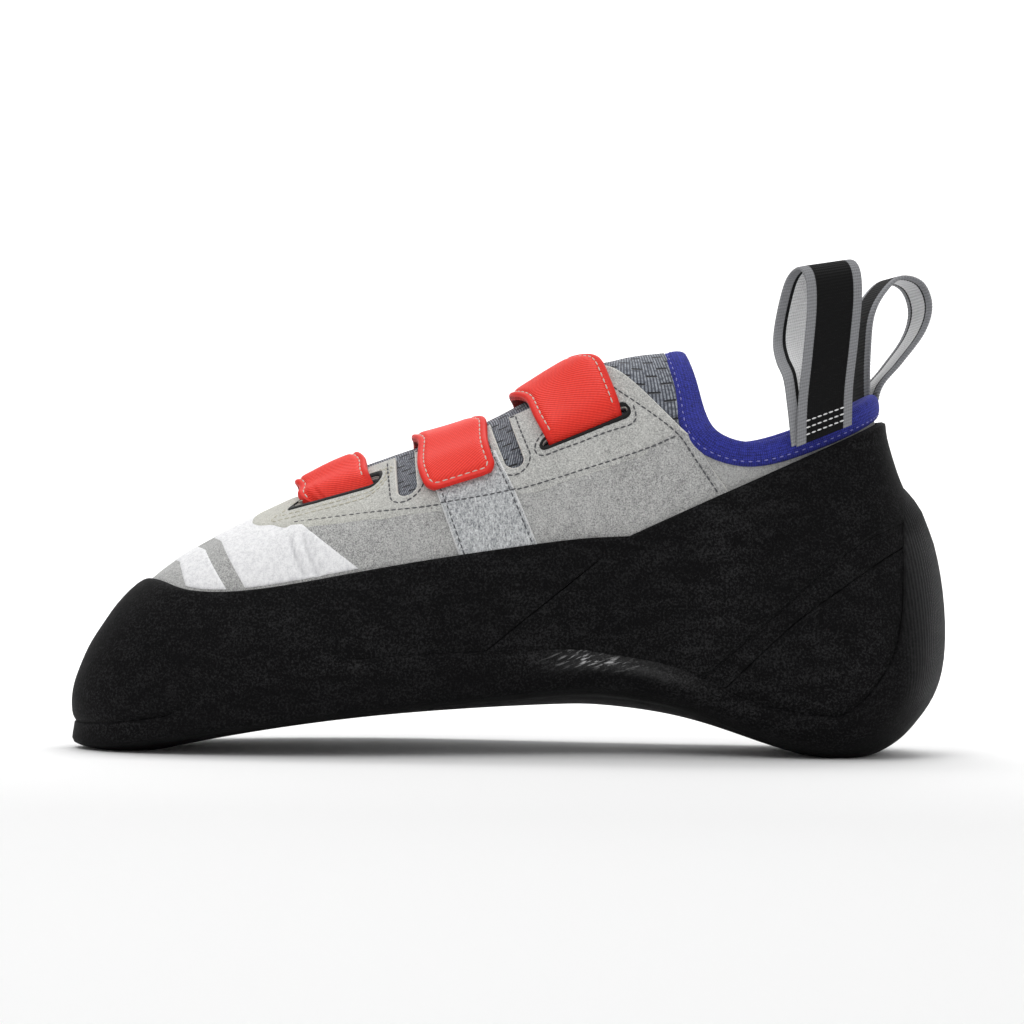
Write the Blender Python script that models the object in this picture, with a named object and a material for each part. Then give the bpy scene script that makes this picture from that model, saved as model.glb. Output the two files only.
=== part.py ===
"""Right climbing shoe with three hook-and-loop straps, as an assembly of separate pieces.

The toe points to -X and the heel to +X, the inner side of the foot faces -Y, and the floor is
at Z = 0. The upper's outer skin is one function of a station round the shoe and a share of the
way up its wall. Rands, outsole, insole, tongue and straps are layers on that skin.
"""
import math
from collections import namedtuple

import bmesh
import bpy
import numpy as np

for old in list(bpy.data.objects):
    bpy.data.objects.remove(old)

MM = 0.001

# Driving dimensions of the shoe, in millimetres
LENGTH = 265.0
BALL_WIDTH = 92.0
INSTEP_HEIGHT = 116.5

# Layers, in millimetres
GAP = 0.3
WALL = 1.8
SOLE = 4.2
RAND = 1.8
INSOLE = 2.0
TONGUE = 2.6
STRAP = 2.2
MARGIN = 11.0
WRAP_TOP = 81.0
BELLY = 0.24

# Sections of the skin from toe tip to heel back. Lengths along the shoe are percent of LENGTH,
# widths percent of BALL_WIDTH (minus is the inner side), heights percent of INSTEP_HEIGHT.
# round, lean, rise_m and rise_l are shares.
#   along, medial, lateral, lift_m, lift_l   the feather edge, where wall and sole meet
#   round, flare                             softness of that edge, and swell of the wall above it
#   lean, full, rise_m, rise_l               place and swell of the shoulder, where the wall turns in
#   crown                                    swell between the shoulder and the top
#   top_along, top_m, top_l, top             the edge of throat and collar
Section = namedtuple(
    "Section",
    "along medial lateral lift_m lift_l round flare lean full rise_m rise_l crown"
    " top_along top_m top_l top",
)
SECTIONS = [
    Section(1.0, -14, -14, 3.6, 3.6, 0.16, 1.8, 0.27, 0, 0.66, 0.66, 3, 25.0, -5.0, -5.0, 65.2),
    Section(4.2, -32, 4.5, 3.8, 3.8, 0.18, 2.2, 0.25, 0, 0.65, 0.60, 3, 25.6, -9.0, -0.5, 65.7),
    Section(10.8, -42, 22.5, 6.2, 5.7, 0.15, 2.6, 0.22, 0, 0.65, 0.54, 3, 27.3, -11, 2, 67.2),
    Section(19.8, -46, 37.0, 9.8, 9.0, 0.15, 3.0, 0.22, 0, 0.68, 0.56, 3, 30.6, -12, 3.5, 70.8),
    Section(30.4, -45.5, 45.6, 13.4, 11.6, 0.15, 3.8, 0.22, 0, 0.70, 0.62, 2, 36.4, -12.5, 5, 76.0),
    Section(41.7, -40, 46.7, 16.2, 13.5, 0.20, 4.5, 0.20, 0, 0.76, 0.66, 2, 45.5, -13, 7, 83.4),
    Section(55.3, -32, 41.5, 19.0, 15.0, 0.30, 4.9, 0.15, 0, 0.77, 0.70, 2, 55.3, -14.5, 10, 94.0),
    Section(62.0, -30.5, 38.5, 19.0, 15.0, 0.30, 5.0, 0.15, 0, 0.78, 0.72, 1, 61.7, -17, 13, 99.8),
    Section(71.0, -31, 35.0, 15.0, 12.5, 0.35, 4.9, 0.35, 0, 0.78, 0.76, 0, 71.6, -27, 27, 80.0),
    Section(81.0, -33, 33.0, 6.8, 6.8, 0.40, 4.0, 0.50, 2, 0.77, 0.77, -1, 80.2, -28, 28, 77.2),
    Section(90.5, -27, 27.0, 3.8, 3.8, 0.45, 8.0, 0.40, 4, 0.75, 0.75, -3, 89.2, -19, 19, 85.5),
    Section(94.2, 0, 0, 3.8, 3.8, 0.45, 13.5, 0.00, 9, 0.66, 0.66, -6, 91.8, 0, 0, 88.8),
]
LAST = len(SECTIONS) - 1

# Rubber on the same sections: top of the outsole's lip and of the toe rand on both sides, percent
# of INSTEP_HEIGHT, and how thick the lip is, in millimetres.
Rubber = namedtuple("Rubber", "lip_m lip_l lip_thick rand_m rand_l")
RUBBER = [
    Rubber(5.8, 5.8, 2.4, 43.3, 43.3),
    Rubber(5.8, 5.8, 2.4, 42.7, 39.5),
    Rubber(9.3, 8.2, 2.4, 40.5, 34.3),
    Rubber(18.9, 12.0, 2.5, 42.0, 32.6),
    Rubber(24.5, 14.6, 2.6, 46.1, 35.2),
    Rubber(27.0, 17.2, 3.0, 50.8, 39.5),
    Rubber(27.6, 20.6, 3.8, 55.4, 45.5),
    Rubber(25.5, 20.8, 4.0, 56.7, 49.8),
    Rubber(21.4, 18.6, 4.2, 57.5, 53.2),
    Rubber(11.6, 13.2, 4.4, 57.5, 53.2),
    Rubber(12.5, 12.5, 4.4, 57.5, 53.2),
    Rubber(12.5, 12.5, 4.4, 57.5, 53.2),
]
WRAP_STATIONS = (10.2, 10.65)

# The heel rand's top edge is straight from the side: it starts and ends at these lengths and heights
HEEL_LINE = ((35.0, 66.2), (113.5, 102.4))
# The seam between the two rands is straight from the side too: lengths and heights of its ends
SEAM_LINE = ((35.0, 66.2), (-3.0, 36.0))
# SEAM_GAP is in stations, and SEAM_STEP is the length of one station where the seam is looked for
SEAM_GAP = 0.008
SEAM_START = 6.3
SEAM_STEP = 30.0
# Gaps of the rubber in millimetres, how many stations ahead of the heel wrap the rand turns up, and
# the lowest shares of the wall for the lip's top and the rand's foot
RAND_GAP = 1.0
RAND_AHEAD = 0.02
RAND_SEAT = 0.45
SOLE_SEAT = 0.6
LIP_SHARE = 0.245
RAND_SHARE = 0.28
# The rands' columns stand square as far as these stations, and fan out to the seam from there
TOE_RAND_SQUARE = 4.7
HEEL_RAND_SQUARE = 7.8
# The sole's edge is square at the toe and softens between these stations, by this share. Its
# thickness turns into the lip's where the skin faces down by less than these shares
SOFT_STATIONS = (5.5, 8.5)
SOFT_SHARE = 0.8
LIP_TURN = (0.2, 0.9)
# How far sole and insole bow down across the foot, in millimetres, and at most as a share of width
SOLE_BOW = 1.2
INSOLE_BOW = 1.0
BOW_SHARE = 0.06

# Ridge of the tongue over the throat: length percent of LENGTH, height percent of INSTEP_HEIGHT
Ridge = namedtuple("Ridge", "along height")
RIDGES = [
    Ridge(25.0, 65.2),
    Ridge(25.6, 66.0),
    Ridge(27.3, 68.0),
    Ridge(30.6, 71.8),
    Ridge(36.4, 76.8),
    Ridge(45.5, 84.3),
    Ridge(55.3, 96.0),
    Ridge(61.9, 102.5),
    Ridge(68.6, 104.9),
]

# The tongue ends at this station. TONGUE_FLAT is how flat it lies over the ridge
TONGUE_END = 7.8
TONGUE_FLAT = 0.6

# Straps: lengths along the shoe of both edges where they cross the throat's edge, how far they
# sweep back as they come down, height over the tongue's ridge at both edges, the shares of the wall
# where they end on each side, and the side of the slot that they pass through, in millimetres
Strap = namedtuple("Strap", "name front rear sweep peak_front peak_rear end_m end_l slot_side")
STRAPS = [
    Strap("strap_toe", -64.5, -45.5, 2.0, 3.0, 3.0, 0.94, 0.72, -1),
    Strap("strap_middle", -30.0, -10.0, 5.5, 2.2, 1.0, 0.825, 0.84, 1),
    Strap("strap_instep", 1.0, 21.0, 9.0, 2.4, 4.6, 0.865, 0.68, -1),
]
# How far the straps stand off the skin, there and on their fastening patch, and how far they sink
# into their slots, in millimetres. FREE_END rows are a share of the way up from the end, and the
# share of the full width there
STRAP_REST = 0.6
PATCH_REST = 1.7
SLOT_SINK = 0.8
FREE_END = np.array([(0, 0.74), (0.06, 0.92), (0.18, 1), (0.5, 1), (0.8, 1)])
# Slots: depth as a share of the wall, ease under and over the strap, and ease at its ends in millimetres
SLOT_DEPTH = 0.035
SLOT_EASE = (0.018, 0.004)
SLOT_ROOM = 1.6

# Notches in the throat's edge between the straps: length along the shoe at the edge, half width,
# how far the notch slants back, and the share of the wall at its foot. NOTCH_ROUND is the rounding
# of the foot and NOTCH_OPEN a height past the edge, both as shares of the wall
Notch = namedtuple("Notch", "name middle half_width slant foot")
NOTCHES = [
    Notch("notch_front", -32.6, 2.9, 1.5, 0.845),
    Notch("notch_rear", -4.1, 2.8, 5.4, 0.815),
]
NOTCH_ROUND = 0.03
NOTCH_OPEN = 1.1

# Padded roll round the ankle opening
BINDING_HEIGHT = 7.6
BINDING_THICK = 4.6
BINDING_SEAT = 0.6
BINDING_START = 8.0

# Pull loops of webbing: place of the middle of the base, the way the webbing faces there, in
# degrees from straight out to the side towards the heel, its side, and the slope of its base
LOOP_WIDTH = 17.0
LOOP_THICK = 1.2
Loop = namedtuple("Loop", "name x y z facing side slope path")
# Steps along the webbing: out from the collar, along it towards the heel, and up
Step = namedtuple("Step", "out along up")
LOOPS = [
    Loop(
        "pull_loop_medial", 97.0, -22.8, 97.0, 12, -1, 0.40,
        [
            Step(3.4, 0, 0), Step(3.6, 0.3, 12), Step(3.8, 0.8, 26), Step(2.6, 1.2, 40),
            Step(-0.5, 0.8, 48.5), Step(-5.5, -1, 51.5), Step(-10.5, -3.5, 48), Step(-13, -6.5, 38),
            Step(-12, -8, 27), Step(-7, -7, 17.5), Step(0.6, -4.5, 9.5), Step(1.8, -3.2, 4.5),
            Step(1.8, -3, 0),
        ],
    ),
    Loop(
        "pull_loop_lateral", 105.5, 17.5, 102.0, 62, 1, 0.2,
        [
            Step(3.4, 0, 0), Step(4.6, 0, 9), Step(11.5, 0, 20), Step(18.0, 0, 32),
            Step(16.5, 0, 41), Step(9.5, 0, 46.5), Step(1.5, 0, 44.5), Step(-4.0, 0, 36),
            Step(-5.0, 0, 26), Step(-1.6, 0, 16), Step(1.2, 0, 8), Step(1.8, 0, 0),
        ],
    ),
]

# Samples along the shoe and up the wall
TOE_STATIONS = np.linspace(0, 3, 9)
SIDE_STATIONS = np.array([3.5, 4, 4.5, 5, 5.5, 6, 6.5, 7, 7.5, 8, 8.25, 8.5, 8.75, 9])
STATIONS = np.concatenate([TOE_STATIONS, SIDE_STATIONS, [9.33, 9.67], np.linspace(10, 11, 7)])
WRAP_COLUMNS = np.linspace(10.2, 10.62, 6)
HEEL_STATIONS = np.concatenate([STATIONS[STATIONS < 10.1], [10.1], WRAP_COLUMNS, [10.8, 11]])
SOLE_STATIONS = HEEL_STATIONS[~np.isin(HEEL_STATIONS, [8.25, 8.75])]
HEIGHTS = np.array([0, 0.11, 0.17, 0.22, 0.32, 0.46, 0.6, 0.74, 0.85, 0.92, 1])


def along_to_x(percent):
    return (percent / 100 - 0.5) * LENGTH


def ring_tangents(values):
    """Tangents of the smooth closed curve through values, one row for each knot."""
    count = len(values)
    system = 4 * np.eye(count) + np.eye(count, k=1) + np.eye(count, k=-1)
    system[0, -1] = system[-1, 0] = 1
    return np.linalg.solve(system, 3 * (np.roll(values, -1, 0) - np.roll(values, 1, 0)))


def hermite(start, end, leave, arrive, share):
    """Point at a share of the way on the cubic from start to end."""
    s = np.asarray(share)[..., None]
    return (
        (2 * s**3 - 3 * s**2 + 1) * start
        + (s**3 - 2 * s**2 + s) * leave
        + (3 * s**2 - 2 * s**3) * end
        + (s**3 - s**2) * arrive
    )


class Ring:
    """Values on the sections, round the shoe: toe tip, outer side, heel, inner side."""

    def __init__(self, outer, inner):
        self.values = np.array(list(outer) + list(inner)[LAST - 1 : 0 : -1], float)
        self.tangents = ring_tangents(self.values)

    def at(self, station):
        """Value at a station: minus is the inner side, 0 the toe tip, LAST the heel."""
        count = len(self.values)
        knot = np.floor(station).astype(int)
        nearer, further = knot % count, (knot + 1) % count
        return hermite(
            self.values[nearer],
            self.values[further],
            self.tangents[nearer],
            self.tangents[further],
            station - knot,
        )


def control_points():
    """Seven control points of the wall's profile on each section, for both sides."""
    foot, lift, top = {}, {}, {}
    for side in ("medial", "lateral"):
        letter = side[0]
        x = np.array([along_to_x(row.along) for row in SECTIONS])
        y = np.array([getattr(row, side) for row in SECTIONS]) * BALL_WIDTH / 100
        foot[side] = np.stack([x, y], 1)
        lift[side] = np.array([getattr(row, "lift_" + letter) for row in SECTIONS]) * INSTEP_HEIGHT / 100
        top_x = np.array([along_to_x(row.top_along) for row in SECTIONS])
        top_y = np.array([getattr(row, "top_" + letter) for row in SECTIONS]) * BALL_WIDTH / 100
        top_z = np.array([row.top for row in SECTIONS]) * INSTEP_HEIGHT / 100
        top[side] = np.stack([top_x, top_y, top_z], 1)
    plan = Ring(foot["lateral"], foot["medial"])
    profiles = {}
    for side, sign in (("lateral", 1), ("medial", -1)):
        rows = []
        for index, row in enumerate(SECTIONS):
            tangent = plan.tangents[(sign * index) % len(plan.values)]
            out = np.array([-tangent[1], tangent[0], 0]) / np.linalg.norm(tangent)
            rise = getattr(row, "rise_" + side[0])
            edge = np.append(foot[side][index], lift[side][index])
            end = top[side][index]
            climb = end[2] - edge[2]
            up = np.array([0, 0, 1.0])
            inside = edge - out * MARGIN
            belly = edge + out * row.flare * BALL_WIDTH / 100 + up * BELLY * climb
            shoulder = edge + row.lean * (end - edge) * (1, 1, 0) + up * rise * climb
            shoulder += out * row.full * BALL_WIDTH / 100
            crown = (shoulder + end) / 2 + out * row.crown * BALL_WIDTH / 100
            rows.append(
                [
                    inside,
                    edge + row.round * (inside - edge),
                    edge + row.round * (belly - edge),
                    belly,
                    shoulder,
                    crown,
                    end,
                ]
            )
        profiles[side] = np.array(rows).reshape(len(SECTIONS), -1)
    return Ring(profiles["lateral"], profiles["medial"])


PROFILES = control_points()
CONTROLS = 7
KNOTS = np.array([0, 0, 0, 0, 0.25, 0.5, 0.75, 1, 1, 1, 1])


def blend_weights(share):
    """Weights of the seven control points at shares of the wall (cubic B-spline)."""
    t = np.clip(np.atleast_1d(np.asarray(share, float)), 0, 1 - 1e-9)
    weights = [((KNOTS[i] <= t) & (t < KNOTS[i + 1])).astype(float) for i in range(len(KNOTS) - 1)]
    for degree in (1, 2, 3):
        raised = []
        for i in range(len(weights) - 1):
            total = np.zeros_like(t)
            if KNOTS[i + degree] > KNOTS[i]:
                total += (t - KNOTS[i]) / (KNOTS[i + degree] - KNOTS[i]) * weights[i]
            if KNOTS[i + degree + 1] > KNOTS[i + 1]:
                reach = KNOTS[i + degree + 1] - KNOTS[i + 1]
                total += (KNOTS[i + degree + 1] - t) / reach * weights[i + 1]
            raised.append(total)
        weights = raised
    return np.stack(weights, -1)


def skin(station, share):
    """Point on the upper's outer skin. Past the top edge the wall runs straight on."""
    station, share = np.broadcast_arrays(np.asarray(station, float), np.asarray(share, float))
    controls = PROFILES.at(station).reshape(station.shape + (CONTROLS, 3))
    weights = blend_weights(share.ravel()).reshape(share.shape + (CONTROLS,))
    point = (weights[..., None] * controls).sum(-2)
    beyond = np.maximum(share - 1, 0)[..., None]
    slope = 3 / (1 - KNOTS[-5]) * (controls[..., -1, :] - controls[..., -2, :])
    return point + beyond * slope


def skin_frame(station, share):
    """Outward normal of the skin and its direction up the wall."""
    step = 1e-3
    low, high = np.maximum(np.asarray(share, float) - step, 0), np.asarray(share, float) + step
    up = skin(station, high) - skin(station, low)
    round_way = skin(np.asarray(station) + step, share) - skin(np.asarray(station) - step, share)
    normal = np.cross(up, round_way)
    normal /= np.linalg.norm(normal, axis=-1, keepdims=True)
    up /= np.linalg.norm(up, axis=-1, keepdims=True)
    return normal, up


def layer(station, share, distance):
    """Point at a distance outside the skin."""
    normal = skin_frame(station, share)[0]
    return skin(station, share) + normal * np.asarray(distance, float)[..., None]


SCAN = np.linspace(0.15, 1, 240)


def share_where(stations, level):
    """Share of the wall at which level(points, station) rises through nought, at each station."""
    shares = []
    for station in stations:
        points = skin(np.full(len(SCAN), station), SCAN)
        shares.append(np.interp(0, level(points, station), SCAN))
    return np.array(shares)


RUBBER_LINES = Ring(
    [(row.lip_l, row.lip_thick, row.rand_l) for row in RUBBER],
    [(row.lip_m, row.lip_thick, row.rand_m) for row in RUBBER],
)


def smooth_step(value, low, high):
    share = np.clip((value - low) / (high - low), 0, 1)
    return share * share * (3 - 2 * share)


def heel_station(station):
    """How far a station is from the toe tip, on either side."""
    return LAST - np.abs(np.abs(station) - LAST)


def lip_height(station, ahead=0.0):
    """Top of the outsole's lip, which climbs the back of the heel."""
    low = RUBBER_LINES.at(np.asarray(station, float))[..., 0] * INSTEP_HEIGHT / 100
    return low + (WRAP_TOP - low) * smooth_step(heel_station(station) + ahead, *WRAP_STATIONS)


def heel_line(x):
    (x_0, z_0), (x_1, z_1) = HEEL_LINE
    return z_0 + (x - x_0) * (z_1 - z_0) / (x_1 - x_0)


def lip_share(stations):
    """Share of the wall at the top of the outsole's lip, never under the feather edge."""
    share = share_where(stations, lambda p, s: p[:, 2] - lip_height(s))
    return np.maximum(share, LIP_SHARE)


def rand_foot_share(stations):
    """Share of the wall where the rands start, just clear of the outsole's lip."""
    share = share_where(stations, lambda p, s: p[:, 2] - lip_height(s, RAND_AHEAD) - RAND_GAP)
    return np.maximum(share, RAND_SHARE)


def toe_rand_share(stations):
    top = RUBBER_LINES.at(np.asarray(stations, float))[..., 2] * INSTEP_HEIGHT / 100
    tops = dict(zip(stations, top))
    return share_where(stations, lambda p, s: p[:, 2] - tops[s])


def heel_rand_share(stations):
    return share_where(stations, lambda p, s: p[:, 2] - heel_line(p[:, 0]))


def material(name, colour, roughness):
    finish = bpy.data.materials.new(name)
    finish.use_nodes = True
    shader = finish.node_tree.nodes["Principled BSDF"]
    shader.inputs["Base Color"].default_value = (*colour, 1)
    shader.inputs["Roughness"].default_value = roughness
    shader.inputs["Metallic"].default_value = 0
    return finish


MATERIALS = {
    "rubber": material("rubber", (0.012, 0.012, 0.013), 0.62),
    "suede": material("suede", (0.36, 0.36, 0.36), 0.9),
    "lining": material("lining", (0.45, 0.45, 0.45), 0.95),
    "mesh": material("mesh", (0.13, 0.14, 0.16), 0.9),
    "knit": material("knit", (0.03, 0.035, 0.4), 0.9),
    "coated": material("coated", (0.85, 0.05, 0.03), 0.5),
    "webbing": material("webbing", (0.03, 0.03, 0.03), 0.85),
}


def new_object(name, mesh_builder, finish):
    """Object from a bmesh in millimetres, with doubled points merged and faces turned out."""
    bmesh.ops.remove_doubles(mesh_builder, verts=mesh_builder.verts, dist=1e-3)
    bmesh.ops.dissolve_degenerate(mesh_builder, edges=mesh_builder.edges, dist=1e-3)
    bmesh.ops.triangulate(mesh_builder, faces=mesh_builder.faces)
    bmesh.ops.recalc_face_normals(mesh_builder, faces=mesh_builder.faces)
    for vert in mesh_builder.verts:
        vert.co *= MM
    mesh = bpy.data.meshes.new(name)
    mesh_builder.to_mesh(mesh)
    mesh_builder.free()
    mesh.shade_smooth()
    mesh.set_sharp_from_angle(angle=math.radians(35))
    mesh.materials.append(MATERIALS[finish])
    made = bpy.data.objects.new(name, mesh)
    bpy.context.scene.collection.objects.link(made)
    return made


def add_grid(builder, points, ring):
    """Quads over a grid of points. Returns its rows of vertices."""
    rows = [[builder.verts.new(p) for p in row] for row in points]
    count = len(rows)
    for i in range(count if ring else count - 1):
        here, after = rows[i], rows[(i + 1) % count]
        for j in range(len(here) - 1):
            builder.faces.new((here[j], after[j], after[j + 1], here[j + 1]))
    return rows


def shell(name, outside, inside, finish, ring=False, ends=(True, True)):
    """Closed wall between two grids: its long edges are joined, and its ends where ends says."""
    builder = bmesh.new()
    out_rows = add_grid(builder, outside, ring)
    in_rows = add_grid(builder, inside, ring)
    count = len(out_rows)
    for j in (0, -1):
        for i in range(count if ring else count - 1):
            k = (i + 1) % count
            builder.faces.new((out_rows[i][j], out_rows[k][j], in_rows[k][j], in_rows[i][j]))
    for i, wanted in zip((0, -1), ends):
        if wanted and not ring:
            for j in range(len(out_rows[i]) - 1):
                builder.faces.new(
                    (out_rows[i][j], out_rows[i][j + 1], in_rows[i][j + 1], in_rows[i][j])
                )
    return new_object(name, builder, finish)


def grid(stations, shares):
    """Stations and shares spread over a grid. shares is one row, or a row for each station."""
    shares = np.broadcast_to(shares, (len(stations), np.shape(shares)[-1]))
    return np.broadcast_to(stations[:, None], shares.shape), shares


def across_bottom(edge_m, edge_l, drop, count):
    """Points between the two margins under the foot, bowed down in the middle."""
    share = (np.arange(count) + 1) / (count + 1)
    rows = edge_m[:, None] + share[None, :, None] * (edge_l - edge_m)[:, None]
    width = np.linalg.norm(edge_l - edge_m, axis=-1)
    bow = np.minimum(drop, width * BOW_SHARE)[:, None] * 4 * share * (1 - share)
    rows[..., 2] -= bow
    return rows


def sole_layer(stations, shares, thick_lip, inner):
    """Inner or outer face of the outsole on one side. Its outer edge is square at the toe."""
    q, v = grid(stations, shares)
    normal = skin_frame(q, v)[0]
    if inner:
        return skin(q, v) + normal * SOLE_SEAT
    under = np.clip(-normal[..., 2], 0, 1)
    thick = thick_lip[:, None] + (SOLE - thick_lip[:, None]) * smooth_step(under, *LIP_TURN)
    level = np.maximum(under, np.sqrt(np.clip(1 - under**2, 0.5, 1)))
    crisp = 1 - SOFT_SHARE * smooth_step(heel_station(q), *SOFT_STATIONS)
    square = 1 + crisp * (1 / level - 1) * (normal[..., 2] < 0)
    return skin(q, v) + normal * (SOLE_SEAT + thick * square)[..., None]


def make_outsole():
    rising = np.linspace(1, 0, 7)[:-1]
    under = HEIGHTS[3::-1]
    faces = {}
    for inner in (True, False):
        sides = {}
        for side in (-1, 1):
            q = side * SOLE_STATIONS
            top = lip_share(q)
            shares = np.concatenate(
                [under[0] + (top[:, None] - under[0]) * rising, np.tile(under, (len(q), 1))], 1
            )
            thick = RUBBER_LINES.at(q)[:, 1]
            sides[side] = sole_layer(q, shares, thick, inner)
        middle = across_bottom(sides[-1][:, -1], sides[1][:, -1], SOLE_BOW, 3)
        whole = np.concatenate([sides[-1], middle, sides[1][:, ::-1]], 1)
        if not inner:
            whole[..., 2] = np.maximum(whole[..., 2], 0)
        faces[inner] = whole
    return shell("outsole", faces[False], faces[True], "rubber", ends=(False, False))


def seam_station(side, share, low_share, high_share):
    """Station of the seam between the rands at a share of the way up: straight from the side."""
    (x_0, z_0), (x_1, z_1) = SEAM_LINE
    station = np.array([side * SEAM_START])
    for _ in range(12):
        low, high = low_share(station), high_share(station)
        point = skin(station, low + (high - low) * share)[0]
        wanted = x_0 + (x_1 - x_0) * (point[2] - z_0) / (z_1 - z_0)
        station += side * np.clip((wanted - point[0]) / SEAM_STEP, -1, 1)
    return station[0]


def rand(name, fixed, rows, low_share, high_share, toward, fan):
    """Rubber band on the skin between two edges, from seam to seam.

    fixed are stations of whole columns, and fan columns spread from each end to the slanting seam.
    """
    columns = []
    for row in rows:
        ends = [seam_station(side, row, low_share, high_share) for side in (-1, 1)]
        if toward < 0:
            ends = [ends[1], ends[0] + 2 * LAST]
        spread = np.arange(fan, 0, -1) / fan
        before = fixed[0] + (ends[0] + SEAM_GAP - fixed[0]) * spread
        after = fixed[-1] + (ends[1] - SEAM_GAP - fixed[-1]) * spread[::-1]
        columns.append(np.concatenate([before, fixed, after]))
    q = np.stack(columns, 1)
    shares = np.empty_like(q)
    for j, row in enumerate(rows):
        low, high = low_share(q[:, j]), high_share(q[:, j])
        shares[:, j] = low + (high - low) * row
    near, far = np.full_like(q, RAND_SEAT), np.full_like(q, RAND_SEAT + RAND)
    return shell(name, layer(q, shares, far), layer(q, shares, near), "rubber")


def make_rands():
    fixed = STATIONS[STATIONS < TOE_RAND_SQUARE]
    fixed = np.concatenate([-fixed[:0:-1], fixed])
    rand("toe_rand", fixed, np.linspace(0, 1, 7), rand_foot_share, toe_rand_share, 1, 5)
    fixed = SOLE_STATIONS[SOLE_STATIONS > HEEL_RAND_SQUARE]
    fixed = np.concatenate([fixed, 2 * LAST - fixed[-2::-1]])
    rand("heel_rand", fixed, np.linspace(0, 1, 8), rand_foot_share, heel_rand_share, -1, 4)


def make_insole():
    shares = HEIGHTS[2::-1]
    faces = []
    for depth in (WALL + GAP, WALL + GAP + INSOLE):
        sides = {}
        for side in (-1, 1):
            q, v = grid(side * STATIONS, shares)
            sides[side] = layer(q, v, np.full(q.shape, -depth))
        middle = across_bottom(sides[-1][:, -1], sides[1][:, -1], INSOLE_BOW, 1)
        faces.append(np.concatenate([sides[-1], middle, sides[1][:, ::-1]], 1))
    return shell("insole", faces[0], faces[1], "lining", ends=(False, False))


def smooth_row(values, place):
    """Value at a place between rows of an open table, on a smooth curve through them."""
    values = np.asarray(values, float)
    tangents = np.gradient(values, axis=0)
    row = np.clip(np.floor(place).astype(int), 0, len(values) - 2)
    return hermite(values[row], values[row + 1], tangents[row], tangents[row + 1], place - row)


RIDGE_POINTS = [(along_to_x(row.along), row.height * INSTEP_HEIGHT / 100) for row in RIDGES]


def ridge(station, distance):
    """Point on the tongue's ridge, or at a distance outside it."""
    step = 1e-3
    x, z = smooth_row(RIDGE_POINTS, np.asarray(station, float)).T
    ahead = smooth_row(RIDGE_POINTS, station + step) - smooth_row(RIDGE_POINTS, station - step)
    ahead /= np.linalg.norm(ahead, axis=-1, keepdims=True)
    y = (skin(-station, 1.0)[..., 1] + skin(station, 1.0)[..., 1]) / 2
    point = np.stack([x, y, z], -1)
    normal = np.stack([-ahead[..., 1], np.zeros_like(x), ahead[..., 0]], -1)
    return point + normal * distance


def over_throat(stations, edge, peak, count):
    """Rows of points over the throat, edge to edge, a distance off the skin and off the ridge."""
    full = np.ones_like(stations)
    left, right = layer(-stations, full, edge), layer(stations, full, edge)
    up_left = skin_frame(-stations, full)[1]
    up_right = skin_frame(stations, full)[1]
    middle = ridge(stations, peak)
    reach_left = np.linalg.norm(middle - left, axis=-1, keepdims=True)
    reach_right = np.linalg.norm(middle - right, axis=-1, keepdims=True)
    flat = (right - left) * TONGUE_FLAT
    share = np.linspace(0, 1, count)
    rows = []
    for i in range(len(stations)):
        rise = hermite(left[i], middle[i], up_left[i] * reach_left[i], flat[i], share)
        fall = hermite(middle[i], right[i], flat[i], -up_right[i] * reach_right[i], share)
        rows.append(np.concatenate([rise, fall[1:]]))
    return np.array(rows)


def make_tongue():
    stations = np.append(STATIONS[(STATIONS > 0) & (STATIONS < TONGUE_END)], TONGUE_END)
    shares = HEIGHTS[-4:-1]
    faces = []
    for depth in (0, TONGUE):
        edge = -(WALL + GAP + depth)
        sides = {}
        for side in (-1, 1):
            q, v = grid(side * stations, shares)
            sides[side] = layer(q, v, np.full(q.shape, edge))
        over = over_throat(stations, np.full(len(stations), edge), -depth, 4)
        faces.append(np.concatenate([sides[-1], over, sides[1][:, ::-1]], 1))
    return shell("tongue", faces[0], faces[1], "mesh")


def make_binding():
    """Rounded roll along the collar's edge and the top of the tongue."""
    collar = STATIONS[(STATIONS >= BINDING_START) & (STATIONS < LAST)]
    stations = np.concatenate([collar, [LAST], 2 * LAST - collar[::-1]])
    normal, up = skin_frame(stations, np.ones(len(stations)))
    seat = skin(stations, np.ones(len(stations))) - normal * WALL / 2
    step = 0.05
    ends = np.array([TONGUE_END - step, TONGUE_END])
    depth = np.full(2, -(WALL + GAP + TONGUE / 2))
    before, edge = over_throat(ends, depth, -TONGUE / 2, 5)[:, 1:-1]
    out = edge - before
    out /= np.linalg.norm(out, axis=-1, keepdims=True)
    along = np.gradient(edge, axis=0)
    face = np.cross(along, out)
    face /= np.linalg.norm(face, axis=-1, keepdims=True)
    seat = np.concatenate([seat, edge])
    up = np.concatenate([up, out])
    normal = np.concatenate([normal, face])
    centre = seat + up * (BINDING_SEAT + BINDING_HEIGHT / 2)
    tall, wide = up * BINDING_HEIGHT / 2, normal * BINDING_THICK / 2
    return tube("collar_binding", [oval(*frame) for frame in zip(centre, tall, wide)], "knit")


def oval(centre, tall, wide):
    """Eight points of a rounded oblong."""
    near, far = 0.45, 0.55
    ring = [(1, near), (1, -near), (far, -1), (-far, -1), (-1, -near), (-1, near), (-far, 1), (far, 1)]
    return [centre + a * tall + b * wide for a, b in ring]


def tube(name, rows, finish):
    """Closed tube through rows of points that ring it."""
    builder = bmesh.new()
    rings = [[builder.verts.new(p) for p in row] for row in rows]
    sides = len(rings[0])
    for i in range(len(rings)):
        k = (i + 1) % len(rings)
        for j in range(sides):
            m = (j + 1) % sides
            builder.faces.new((rings[i][j], rings[k][j], rings[k][m], rings[i][m]))
    return new_object(name, builder, finish)


STATION_SCAN = np.linspace(0.4, 8.5, 240)


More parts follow.
